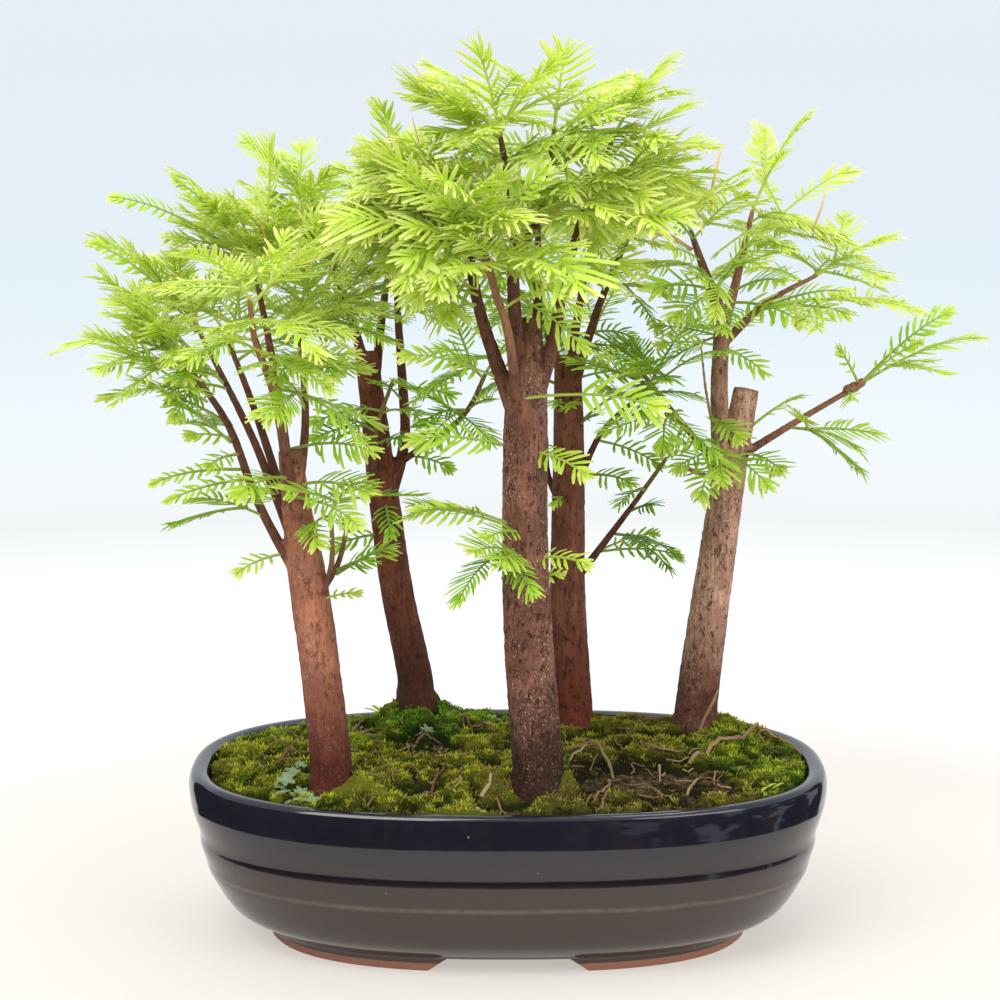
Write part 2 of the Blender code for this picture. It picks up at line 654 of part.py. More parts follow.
def leafy_stem(path, up, bare, needle, grown=0.0):
    """One closed shape: a three-sided stem with a pair of flat needles at each step past its
    bare steps. Each needle runs out from the stem's flank to a point."""
    ahead = directions(path)
    last = len(path) - 1
    points, faces = [], []
    sides, tops = [], []
    for i, place in enumerate(path[:-1]):
        side = ahead[i].cross(up).normalized()
        top = side.cross(ahead[i])
        sides.append(side)
        tops.append(top)
        more = grown * min(1.0, i / 2)
        width = STEM_HALF_WIDTH + (TIP_HALF_WIDTH - STEM_HALF_WIDTH) * i / last + more
        deep = STEM_DEPTH * width / STEM_HALF_WIDTH / 2
        points += [place - side * width + top * deep / 2, place + side * width + top * deep / 2,
                   place - top * deep]
    points.append(path[-1])
    faces.append((0, 2, 1))
    for i in range(last):
        left, right, below = 3 * i, 3 * i + 1, 3 * i + 2
        if i == last - 1:
            apex = 3 * last
            faces += [(left, right, apex), (right, below, apex), (below, left, apex)]
            continue
        next_left, next_right, next_below = left + 3, right + 3, below + 3
        faces += [(left, right, next_right), (left, next_right, next_left)]
        flanks = [((left, next_left, next_below, below), -1),
                  ((right, below, next_below, next_right), 1)]
        for (a, b, c, d), way in flanks:
            if i < bare:
                faces += [(a, b, c), (a, c, d)]
                continue
            share = (i - bare) / max(1, last - 1 - bare)
            lean = math.radians(NEEDLE_LEAN[0] + (NEEDLE_LEAN[1] - NEEDLE_LEAN[0]) * share)
            length = needle * needle_share(share) + grown
            middle = path[i].lerp(path[i + 1], 0.5)
            reach = sides[i] * way * math.cos(lean) + ahead[i] * math.sin(lean)
            arch = tops[i] * (NEEDLE_ARCH[0] * length - NEEDLE_ARCH[1] * length * length)
            points.append(middle + reach * length + arch)
            tip = len(points) - 1
            faces += [(a, b, tip), (b, c, tip), (c, d, tip), (d, a, tip)]
    return points, faces


def arc_path(start, end, rise, shares):
    """Points from start to end on an arch, at the shares of its length."""
    middle = start.lerp(end, 0.5) + rise
    return [start * (1 - t) ** 2 + middle * 2 * t * (1 - t) + end * t * t for t in shares]


def step_shares(length, leafy_length, bare_step):
    """Shares of the length: wide steps on the bare part and needle steps on the leafy part."""
    leafy = min(leafy_length, length * LEAFY_SHARE)
    bare_length = length - leafy
    bare = max(1, round(bare_length / bare_step))
    pairs = max(FEWEST_PAIRS, round(leafy / NEEDLE_STEP))
    shares = [bare_length / length * i / bare for i in range(bare)]
    shares += [(bare_length + leafy * i / pairs) / length for i in range(pairs + 1)]
    return shares, bare


def flat_up(along, roll):
    """The direction that a spray's face looks in: upwards, rolled about its stem."""
    side = along.cross(Vector((0, 0, 1)))
    if side.length < STEEP:
        side = along.cross(Vector(STEEP_ACROSS))
    side.normalize()
    return (side.cross(along) * math.cos(roll) + side * math.sin(roll)).normalized()


def solid_tree(shape, skipped=0):
    """A search tree of a shape, leaving out the faces on its first points where asked."""
    points, faces = shape
    kept = [face for face in faces if min(face) >= skipped]
    return BVHTree.FromPolygons(points, kept)


def is_clear(shape, others, skipped=0):
    tree = solid_tree(shape, skipped)
    return not any(tree.overlap(other) for other in others)


def shoot_start(line, bark, share, tip):
    """Where a shoot leaves its limb, just clear of the bark, and which way it heads."""
    along = share * (len(line) - 1)
    index = min(len(line) - 2, int(along))
    row = line[index].lerp(line[index + 1], along - index)
    place = row.to_3d()
    ahead = (line[index + 1] - line[index]).to_3d().normalized()
    towards = tip - place
    if share >= 1.0:
        turned = 1.0 - ahead.dot(towards.normalized())
        return place + ahead * (CLEARANCE + STEM_DEPTH * turned), ahead
    out = (towards - ahead * towards.dot(ahead)).normalized()
    outside = place + out * row[3] * 3
    seat, _, _, _ = bark.ray_cast(outside, -out)
    heading = (out * START_OUT + ahead * START_AHEAD).normalized()
    return seat + out * (CLEARANCE + STEM_HALF_WIDTH * START_AHEAD), heading


def plan_stem(start, heading, tip, needle, draw):
    """The leafy stem of a shoot: its path, the way its face looks, bare steps and needle."""
    length = (tip - start).length
    rise = (Vector((0, 0, 1)) + heading) * (STEM_ARCH * length)
    shares, bare = step_shares(length, SHOOT_PAIRS * NEEDLE_STEP, BARE_STEP)
    path = arc_path(start, tip, rise, shares)
    up = flat_up((tip - start).normalized(), math.radians(draw.uniform(-STEM_ROLL, STEM_ROLL)))
    return path, up, bare, needle * draw.uniform(*NEEDLE_VARIES)


def plan_spray(stem, way, order, draw):
    """A side spray, which leaves the bare part of a stem on its left or right."""
    path, up, bare, needle = stem
    place = max(1, min(bare - 1 - order, bare - 1 - draw.randrange(2)))
    ahead = (path[place + 1] - path[place - 1]).normalized()
    side = ahead.cross(up).normalized()
    angle = math.radians(draw.uniform(*SPRAY_ANGLE))
    heading = ahead * math.cos(angle) + side * way * math.sin(angle)
    heading = (heading + up * draw.uniform(*SPRAY_LIFT)).normalized()
    reach = SPRAY_STALK + SPRAY_PAIRS * NEEDLE_STEP * draw.uniform(*SPRAY_VARIES)
    start = path[place] - heading * ROOT_SINK
    end = start + heading * reach - Vector((0, 0, draw.uniform(0.0, SPRAY_DROOP) * reach))
    shares, bare = step_shares(reach, SPRAY_PAIRS * NEEDLE_STEP, SPRAY_STALK)
    spray_path = arc_path(start, end, Vector((0, 0, SPRAY_ARCH * reach)), shares)
    tilt = flat_up(heading, math.radians(draw.uniform(-SPRAY_ROLL, SPRAY_ROLL)))
    return spray_path, tilt, bare, needle * SPRAY_NEEDLE_SHARE


def plan_shoot(start, heading, tip, needle, sprays, seed, taken):
    """The stems of one shoot, each turned a little until it is clear of all that stands."""
    for attempt in range(SHOOT_TRIES):
        draw = random.Random(1000 * seed + attempt)
        sway = Vector((draw.uniform(-1, 1), draw.uniform(-1, 1), draw.uniform(-1, 1)))
        end = tip + sway * min(attempt, LONGEST_SWAY)
        stem = plan_stem(start, heading, end, needle, draw)
        if is_clear(leafy_stem(*stem, NEEDLE_ROOM), taken):
            break
    else:
        return []
    stems = [stem]
    own = [solid_tree(leafy_stem(*stem))]
    way = draw.choice((-1, 1))
    for order in range(sprays):
        for attempt in range(SPRAY_TRIES):
            same_side = attempt % (TRIES_ON_ONE_SIDE + 1) < TRIES_ON_ONE_SIDE
            spray = plan_spray(stem, way if same_side else -way, order, draw)
            shape = leafy_stem(*spray, NEEDLE_ROOM)
            if is_clear(shape, own, 3) and is_clear(shape, taken):
                stems.append(spray)
                own.append(solid_tree(leafy_stem(*spray)))
                break
        way = -way
    return stems


def plan_foliage():
    """The stems of every shoot, by name."""
    barks = {
        (name, limb): solid_tree(limb_shape(tree, limb, number))
        for number, (name, tree) in enumerate(TREES.items())
        for limb in tree["limbs"]
    }
    taken = list(barks.values())
    plan = {}
    for number, (name, shoots) in enumerate(SHOOTS.items()):
        for order, (limb, share, tip, sprays) in enumerate(shoots, 1):
            line = limb_line(limb, TREES[name]["limbs"][limb])
            start, heading = shoot_start(line, barks[name, limb], share, Vector(tip))
            seed = 100 * number + order
            needle = TREES[name]["needle"]
            stems = plan_shoot(start, heading, Vector(tip), needle, sprays, seed, taken)
            plan[f"shoot_{name}_{order:02d}"] = stems
            taken += [solid_tree(leafy_stem(*stem)) for stem in stems]
    return plan


def build_shoot(name, stems):
    height = stems[0][0][-1].z
    low, high = SHADE_HEIGHTS
    share = min(1.0, max(0.0, (height - low) / (high - low)))
    colour = [a + (b - a) * share for a, b in zip(LEAF_GREEN, LEAF_BRIGHT)]
    shoot = make_object(name, leafy_stem(*stems[0]))
    combine(shoot, [make_object("spray", leafy_stem(*stem)) for stem in stems[1:]], "UNION")
    shoot.data.materials.clear()
    shoot.data.materials.append(finish("leaf", (colour, LEAF_ROUGHNESS)))


def main():
    empty_scene()
    build_pot()
    for place, side in zip(DRAIN_PLACES, ("left", "right")):
        build_screen("drain_screen_" + side, place)
    build_soil()
    build_moss()
    for number, (name, tree) in enumerate(TREES.items()):
        build_tree(name, tree, number)
    for name, stems in plan_foliage().items():
        build_shoot(name, stems)
    place = bpy.data.objects.new("forest", None)
    bpy.context.scene.collection.objects.link(place)
    for thing in list(bpy.data.objects):
        if thing is not place:
            thing.parent = place
    place.location = (POT_PLACE[0] * MM, POT_PLACE[1] * MM, 0)


main()
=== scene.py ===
"""The looks of a forest of five dawn redwood trees in an oval glazed pot.

Lengths are in millimetres, measured from the pot's middle at table height, and become metres
when a mesh is made. +X is to the right, +Y is away from the front and +Z is up.
"""

import json
import math
import random
from itertools import chain

import bpy
import numpy as np
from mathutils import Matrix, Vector, kdtree, noise
from mathutils.bvhtree import BVHTree

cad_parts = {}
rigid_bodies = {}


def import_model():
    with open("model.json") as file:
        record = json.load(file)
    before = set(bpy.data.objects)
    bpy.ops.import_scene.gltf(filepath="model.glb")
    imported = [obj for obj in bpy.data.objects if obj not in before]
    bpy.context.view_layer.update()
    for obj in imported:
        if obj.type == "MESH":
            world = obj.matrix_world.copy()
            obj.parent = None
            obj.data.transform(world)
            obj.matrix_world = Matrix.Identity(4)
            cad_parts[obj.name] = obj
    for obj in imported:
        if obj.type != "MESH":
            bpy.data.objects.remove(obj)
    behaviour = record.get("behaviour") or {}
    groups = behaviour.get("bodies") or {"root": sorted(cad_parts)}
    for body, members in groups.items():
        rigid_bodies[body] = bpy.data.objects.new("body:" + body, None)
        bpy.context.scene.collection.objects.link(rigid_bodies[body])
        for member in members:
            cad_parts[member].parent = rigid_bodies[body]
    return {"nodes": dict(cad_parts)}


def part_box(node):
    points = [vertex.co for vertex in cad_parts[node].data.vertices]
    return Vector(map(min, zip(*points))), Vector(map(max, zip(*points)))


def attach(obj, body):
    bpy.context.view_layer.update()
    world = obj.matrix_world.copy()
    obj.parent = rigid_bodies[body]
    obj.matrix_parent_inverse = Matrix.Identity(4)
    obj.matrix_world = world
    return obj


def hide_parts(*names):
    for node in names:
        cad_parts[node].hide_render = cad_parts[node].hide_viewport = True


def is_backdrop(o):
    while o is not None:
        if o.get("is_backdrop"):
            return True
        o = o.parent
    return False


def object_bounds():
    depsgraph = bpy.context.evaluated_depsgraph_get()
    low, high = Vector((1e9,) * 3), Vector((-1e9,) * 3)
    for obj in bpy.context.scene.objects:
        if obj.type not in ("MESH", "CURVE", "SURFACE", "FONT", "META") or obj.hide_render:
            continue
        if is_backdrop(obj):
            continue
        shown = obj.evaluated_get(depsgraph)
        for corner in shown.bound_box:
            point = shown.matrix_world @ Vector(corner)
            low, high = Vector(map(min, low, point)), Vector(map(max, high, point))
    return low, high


MM = 0.001
BODY = "root"

# The angle past which an edge looks sharp, in degrees
POT_SHARP = 38
LEAF_SHARP = 40
GROUND_SHARP = 60

# Where the random draws of each kind of piece start
GROUND_LEAF_SEED = 12
TUFT_SEED = 41
LITTER_SEED = 77
LICHEN_SEED = 5
CROWN_TIP_SEED = 70
CROWN_SEED = 300
EXTRA_SEED = 500
LIMB_SPRAY_SEED = 600
SEEN_SEED = 4000
CROWN_SHOOT_SEED = 9000

# Pot: outer half sizes at the rim, the outline's power and the rows of its outline
RIM_HALF_X = 136.0
RIM_HALF_Y = 95.0
OVAL_POWER = 2.5
DEPTH_SHARE = 0.7
WALL = 6.5
FOOT_HEIGHT = 6.0
FLOOR_TOP = 12.5
FOOT_GAP_FRONT = (66.0, 50.0)
FOOT_GAP_SIDE = (44.0, 32.0)
DRAIN_PLACES = (-52.0, 52.0)
DRAIN_RADIUS = 9.0
DRAIN_SIDES = 32
CUT_PAST = 4.0
POT_POINTS = 176
# Each row is how far the outline is drawn in from the rim's widest line, and its height
FOOT_ROWS = [(43.0, 6.0), (43.0, 0.7), (42.3, 0.0), (34.9, 0.0), (34.1, 0.7)]
BODY_ROWS = [
    (33.6, 3.0), (32.6, 5.4), (29.6, 7.4), (24.2, 9.8), (18.0, 13.6), (13.4, 19.4), (10.4, 24.6),
    (8.2, 28.6), (7.2, 31.2), (6.6, 33.8), (5.6, 37.0), (4.7, 40.2), (4.5, 42.2), (4.45, 44.4),
    (4.0, 46.8), (2.9, 50.2), (1.7, 54.0), (0.8, 57.6), (0.5, 60.0), (0.1, 63.5), (0.2, 67.2),
    (1.3, 70.2), (3.6, 71.5),
]
INSIDE_ROWS = [(6.4, 71.1), (8.4, 69.4), (9.0, 61.0), (10.0, 38.0), (18.0, 19.0), (34.0, 12.5)]
POT_STEPS = 3

# Trunks and limbs
TRUNK_SIDES = 10
LIMB_SIDES = 5
TRUNK_WAVE = 0.045
LIMB_WAVE = 0.05
WAVE_LOBES = 3
WAVE_TWIST = 0.35
STUMP_DEPTH = 28.0
STUMP_RISE = 0.6
FLARE_HEIGHT = 0.35
FLARE_NARROWING = 0.62
FLARE_LOBES = 0.2

# Soil and moss
SOIL_EDGE = 66.0
SOIL_MIDDLE = 70.5
SOIL_DROP = 6
MOSS_THICKNESS = 3.0
MOUND_FALL = 1.6
MOUNDS = [
    ((-42, 66), 24, 9.0), ((104, 44), 30, 7.0), ((-52, -44), 18, 5.5), ((-14, -50), 16, 5.0),
    ((-96, -8), 24, 4.0), ((60, 10), 26, 3.0), ((20, -66), 14, 3.0), ((-8, 40), 22, 3.5),
]
# Bare patches in the moss: place, half length, half width and turn
BARE_PATCHES = [((-34, 10), 20, 9, 10), ((46, -42), 17, 8, -20), ((74, 28), 12, 7, 35)]
# Thin spots besides them, given in the same way
THIN_SPOTS = [
    ((-84, -52), 13, 7, 20), ((-2, -78), 12, 5, 0), ((54, -38), 54, 36, -8), ((28, -36), 16, 12, 0),
    ((-60, -30), 11, 6, 60), ((30, 22), 16, 9, 10), ((88, -24), 14, 8, -30), ((8, 4), 14, 8, 0),
    ((-40, 24), 22, 10, 5), ((-34, -62), 12, 7, 30), ((60, 24), 20, 8, -10),
]

# Leafy shoots: the stem's section and its steps
STEM_HALF_WIDTH = 0.75
TIP_HALF_WIDTH = 0.4
STEM_DEPTH = 1.3
BARE_STEP = 7.0
NEEDLE_STEP = 4.5
SHOOT_PAIRS = 8
SPRAY_PAIRS = 6
FEWEST_PAIRS = 4
SPRAY_STALK = 5.0
LEAFY_SHARE = 0.82
STEM_ARCH = 0.13
SPRAY_ARCH = 0.07
START_OUT, START_AHEAD = 0.8, 0.6
ROOT_SINK = 0.2
CLEARANCE = 0.35

# Needles
NEEDLE_VARIES = (0.88, 1.06)
SPRAY_NEEDLE_SHARE = 0.86
NEEDLE_SWELL = (0.22, 0.66, 0.8)
NEEDLE_LEAN = (24, 58)
NEEDLE_ARCH = (0.10, 0.010)

# How a shoot is turned until it is clear of its neighbours
SHOOT_TRIES = 40
SPRAY_TRIES = 24
TRIES_ON_ONE_SIDE = 3
LONGEST_SWAY = 9
NEEDLE_ROOM = 0.5
STEM_ROLL = 34
SPRAY_ROLL = 32
SPRAY_ANGLE = (42, 72)
SPRAY_LIFT = (-0.4, 0.3)
SPRAY_VARIES = (0.92, 1.1)
SPRAY_DROOP = 0.15
# How many points at a stem's root may touch what it grows from
SKIPPED_ROOT = 3
# A stem this near to upright faces across this way
STEEP = 0.3
STEEP_ACROSS = (0.4, 1, 0)

# Each tree: its foot, its foot's radius, its longest needles and its limbs. A limb is a line of
# rows of x, y, height and radius. The first limb is the trunk, and the others start inside it.
TREES = {
    "left_front": {
        "foot": (-72, -54), "foot_radius": 9.6, "needle": 14.0,
        "limbs": {
            "trunk": [(-72.5, -54, 84, 8.4), (-76.5, -54, 120, 8.0), (-81, -54, 158, 7.8),
                      (-85, -54, 188, 6.0), (-88, -54, 213, 4.6)],
            "outer": [(-83, -54, 156, 2.6), (-101, -56, 192, 2.1), (-112, -60, 224, 1.8),
                      (-130, -66, 252, 1.1)],
            "side": [(-84, -52, 166, 2.6), (-98, -45, 202, 2.1), (-107, -42, 223, 1.8),
                     (-128, -36, 264, 1.1)],
            "front": [(-87, -57, 194, 2.8), (-92, -71, 235, 2.1), (-99, -80, 260, 1.6),
                      (-100, -88, 276, 1.2)],
            "right": [(-85, -52, 192, 2.4), (-82, -47, 225, 1.9), (-84, -48, 262, 1.2)],
            "back": [(-88, -50, 196, 2.6), (-95, -34, 240, 2.0), (-104, -26, 286, 1.2)],
            "far": [(-88, -50, 182, 2.4), (-104, -30, 226, 1.8), (-118, -8, 256, 1.2)],
            "twig_front": [(-77, -56, 148, 1.7), (-71, -62, 168, 1.4), (-71, -64, 188, 1.1)],
            "twig_back": [(-77, -51, 152, 1.7), (-69, -45, 166, 1.4), (-65, -41, 184, 1.1)],
        },
    },
    "left_back": {
        "foot": (-40, 70), "foot_radius": 10.4, "needle": 12.5,
        "limbs": {
            "trunk": [(-42.5, 70, 94, 7.8), (-50, 68, 132, 7.2), (-55, 66, 174, 6.8),
                      (-58, 66, 200, 6.0), (-63, 66, 240, 5.0)],
            "right": [(-54, 66, 170, 3.4), (-46, 66, 200, 2.8), (-47, 68, 230, 2.4),
                      (-49, 70, 264, 1.8), (-48, 64, 300, 1.2)],
            "low": [(-52, 64, 188, 2.0), (-21, 50, 212, 1.5), (-9, 44, 234, 1.2)],
            "twig": [(-59, 62, 180, 1.6), (-58, 52, 206, 1.3), (-50, 48, 230, 1.1)],
            "left": [(-61, 67, 224, 3.0), (-72, 74, 262, 2.2), (-86, 80, 298, 1.4)],
            "back": [(-60, 68, 216, 2.8), (-56, 86, 258, 2.1), (-50, 98, 294, 1.4)],
        },
    },
    "centre_front": {
        "foot": (12, -62), "foot_radius": 11.6, "needle": 15.5,
        "limbs": {
            "trunk": [(11.5, -62, 86, 10.2), (8.5, -62, 130, 9.8), (7, -62, 180, 9.0),
                      (7, -61, 232, 8.4), (8, -58, 250, 6.0), (9, -56, 266, 4.2)],
            "left": [(2, -62, 230, 4.2), (-8, -60, 258, 3.0), (-13, -58, 276, 2.6),
                     (-16, -55, 292, 2.2), (-24, -58, 318, 1.3)],
            "front": [(4, -66, 228, 3.0), (0, -75, 261, 2.1), (-5, -81, 278, 1.9),
                      (-10, -87, 296, 1.9)],
            "leader": [(5, -64, 230, 4.2), (2, -66, 276, 2.9), (2, -65, 306, 2.2),
                       (-4, -64, 342, 1.2)],
            "fork": [(3, -65, 290, 2.4), (14, -60, 312, 1.8), (18, -60, 342, 1.1)],
            "right": [(10, -62, 232, 4.2), (18, -60, 258, 3.0), (22, -57, 280, 2.4),
                      (30, -52, 308, 1.8), (42, -48, 338, 1.1)],
            "back": [(9, -56, 236, 3.2), (12, -38, 272, 2.2), (12, -22, 306, 1.3)],
        },
    },
    "centre_back": {
        "foot": (29, 54), "foot_radius": 10.0, "needle": 12.5,
        "limbs": {
            "trunk": [(29, 54, 86, 8.4), (27, 52, 131, 7.8), (27, 50, 190, 7.0),
                      (26, 50, 240, 5.8)],
            "low_right": [(30, 50, 140, 2.2), (53, 40, 173, 1.5), (69, 30, 198, 1.1)],
            "high_right": [(30, 49, 182, 2.0), (42, 45, 208, 1.5), (62, 40, 227, 1.1)],
            "left": [(26, 52, 168, 2.0), (18, 56, 186, 1.6), (17, 56, 204, 1.2)],
            "up_right": [(28, 50, 222, 2.8), (40, 52, 262, 2.0), (56, 50, 300, 1.2)],
            "up_back": [(27, 52, 228, 2.8), (32, 68, 262, 2.0), (40, 86, 298, 1.2)],
            "up_left": [(25, 51, 226, 2.6), (14, 62, 262, 1.9), (4, 74, 300, 1.2)],
        },
    },
    "right": {
        "foot": (83, 45), "foot_radius": 10.8, "needle": 13.5,
        "limbs": {
            "trunk": [(84, 45, 86, 9.2), (90, 45, 132, 8.4), (97, 45, 186, 7.0),
                      (104, 45, 226, 5.4)],
            "leader": [(94, 43, 188, 5.2), (92, 40, 226, 4.4), (92, 38, 256, 3.8),
                       (86, 34, 274, 2.6), (78, 30, 296, 1.3)],
            "fork": [(92, 38, 250, 3.2), (98, 43, 269, 2.4), (106, 46, 304, 1.2)],
            "left": [(94, 42, 190, 2.2), (79, 38, 208, 1.7), (66, 34, 224, 1.4),
                     (54, 30, 240, 1.1)],
            "right": [(98, 44, 194, 2.4), (127, 40, 213, 1.7), (149, 35, 227, 1.5),
                      (152, 34, 229, 2.1)],
            "reach": [(93, 40, 246, 2.6), (112, 40, 264, 1.7), (134, 42, 276, 1.1)],
            "dead_twig": [(92, 36, 200, 1.2), (86, 31, 224, 0.9), (83, 28, 246, 0.7)],
            "cut_twig": [(92, 43, 186, 1.5), (77, 41, 192, 1.2)],
        },
    },
}

# Each shoot: its limb, how far along the limb it starts, its tip and its number of side sprays
SHOOTS = {
    "left_front": [
        ("outer", 1.0, (-178, -64, 254), 1), ("outer", 0.8, (-160, -84, 262), 2),
        ("outer", 0.6, (-150, -44, 240), 1), ("side", 1.0, (-166, -36, 296), 2),
        ("side", 0.8, (-158, -66, 282), 1), ("front", 1.0, (-122, -118, 296), 2),
        ("front", 0.85, (-72, -122, 258), 2), ("front", 0.4, (-56, -98, 222), 1),
        ("right", 1.0, (-72, -70, 306), 2), ("back", 1.0, (-134, -26, 322), 2),
        ("back", 0.9, (-96, -36, 334), 1), ("far", 1.0, (-152, 22, 284), 2),
        ("twig_front", 1.0, (-56, -84, 204), 0), ("outer", 0.3, (-124, -76, 196), 0),
    ],
    "left_back": [
        ("left", 1.0, (-116, 84, 332), 2), ("left", 0.8, (-112, 56, 290), 1),
        ("back", 1.0, (-58, 130, 322), 1), ("back", 0.8, (-86, 122, 280), 1),
        ("right", 1.0, (-54, 48, 348), 2), ("right", 0.8, (-64, 24, 300), 1),
        ("low", 1.0, (6, 16, 252), 1), ("low", 0.6, (-36, 16, 204), 0),
    ],
    "centre_front": [
        ("leader", 1.0, (-12, -68, 371), 1), ("leader", 0.9, (-38, -54, 358), 1),
        ("fork", 1.0, (22, -66, 370), 1), ("fork", 0.85, (34, -96, 352), 2),
        ("right", 1.0, (62, -54, 368), 2), ("right", 0.84, (76, -76, 334), 1),
        ("right", 0.7, (56, -106, 304), 2), ("left", 1.0, (-58, -78, 316), 2),
        ("left", 0.86, (-56, -94, 300), 2), ("front", 1.0, (-24, -136, 324), 2),
        ("front", 0.86, (16, -132, 290), 2), ("back", 1.0, (-16, 10, 338), 1),
        ("back", 0.86, (36, 6, 322), 1), ("trunk", 0.42, (-40, -90, 191), 1),
        ("trunk", 0.38, (-20, -106, 160), 1),
    ],
    "centre_back": [
        ("up_right", 1.0, (86, 28, 322), 2), ("up_back", 1.0, (64, 122, 314), 2),
        ("up_left", 1.0, (-10, 104, 334), 2), ("low_right", 0.35, (74, 34, 154), 0),
        ("high_right", 1.0, (92, 4, 246), 1),
    ],
    "right": [
        ("leader", 1.0, (60, 0, 322), 2), ("fork", 1.0, (127, 34, 343), 1),
        ("fork", 0.8, (150, 70, 320), 2), ("reach", 1.0, (166, 48, 292), 2),
        ("reach", 0.5, (172, 4, 264), 2), ("right", 1.0, (202, 28, 250), 1),
        ("right", 0.3, (150, 18, 204), 1), ("left", 0.55, (66, 6, 206), 0),
    ],
}

# How bright leaves are at their height, and the trees whose leaves stand in the shade
SHADE_HEIGHTS = (120, 298)
SHADE_VARIES = 0.16
BACK_TREES = ("left_back", "centre_back")
BACK_SHADE = 0.22

# More leaves between the shoots that have a node. Each crown: its middle, its half sizes, the
# lowest height of a tip and the number of shoots that fill it
CROWNS = {
    "left_front": ((-112, -52, 276), (72, 64, 62), 246, 54),
    "left_back": ((-62, 70, 286), (66, 58, 62), 230, 36),
    "centre_front": ((-2, -66, 320), (82, 68, 54), 282, 70),
    "centre_back": ((44, 70, 276), (62, 54, 56), 226, 36),
    "right": ((98, 38, 280), (58, 54, 50), 246, 12),
}
# How far out foliage reaches to the left and to the right: rows of height and reach
OUTLINE_LEFT = [(190, 120), (235, 140), (262, 168), (300, 160), (318, 150), (334, 112), (346, 62),
                (360, 44), (372, 18)]
OUTLINE_RIGHT = [(190, 110), (240, 130), (265, 150), (300, 140), (322, 120), (334, 86), (352, 66),
                 (366, 60), (372, 20)]
CROWN_CORE = 0.2
# A place that the crowns leave open round a large fan of leaves, and its radius
OPEN_PLACE = ((24, -126, 286), 30)
TIP_ROOM = 13.0
PLACES_A_STEP = 4
LAST_SHARE = 0.97
CROWN_TRIES = 2400
CROWN_REACH = (16, 84)
CROWN_NEEDLES = {"left_front": 0.78, "left_back": 0.9, "centre_front": 1.04, "centre_back": 0.9,
                 "right": 0.86}
TURNED_FRONT = 14
STEEPEST = 0.82
CROWN_SWAYS = 6
CROWN_SPRAYS = 3
SHOOT_SPRAYS = 2
EXTRA_TRIES = 6
TRUNK_SHOOT_SHARE = 0.76

# Short sprays straight from the bark: how many on each tree, where along a trunk or a limb, which
# way they point (turn about the height axis and rise), how far they reach and their needles
LIMB_SPRAYS = {"left_front": 16, "left_back": 22, "centre_front": 20, "centre_back": 30,
               "right": 7}
BARE_LIMBS = ("dead_twig", "cut_twig")
LEAFLESS_LIMBS = ("trunk", *BARE_LIMBS)
TRUNK_SHARES = (0.76, 1.0)
LIMB_SHARES = (0.35, 1.0)
LIMB_SPRAY_TURN = (-3.4, 0.3)
LIMB_SPRAY_RISE = (-0.25, 0.5)
LIMB_SPRAY_REACH = (12, 26)
LIMB_SPRAY_NEEDLE = (0.5, 0.8)

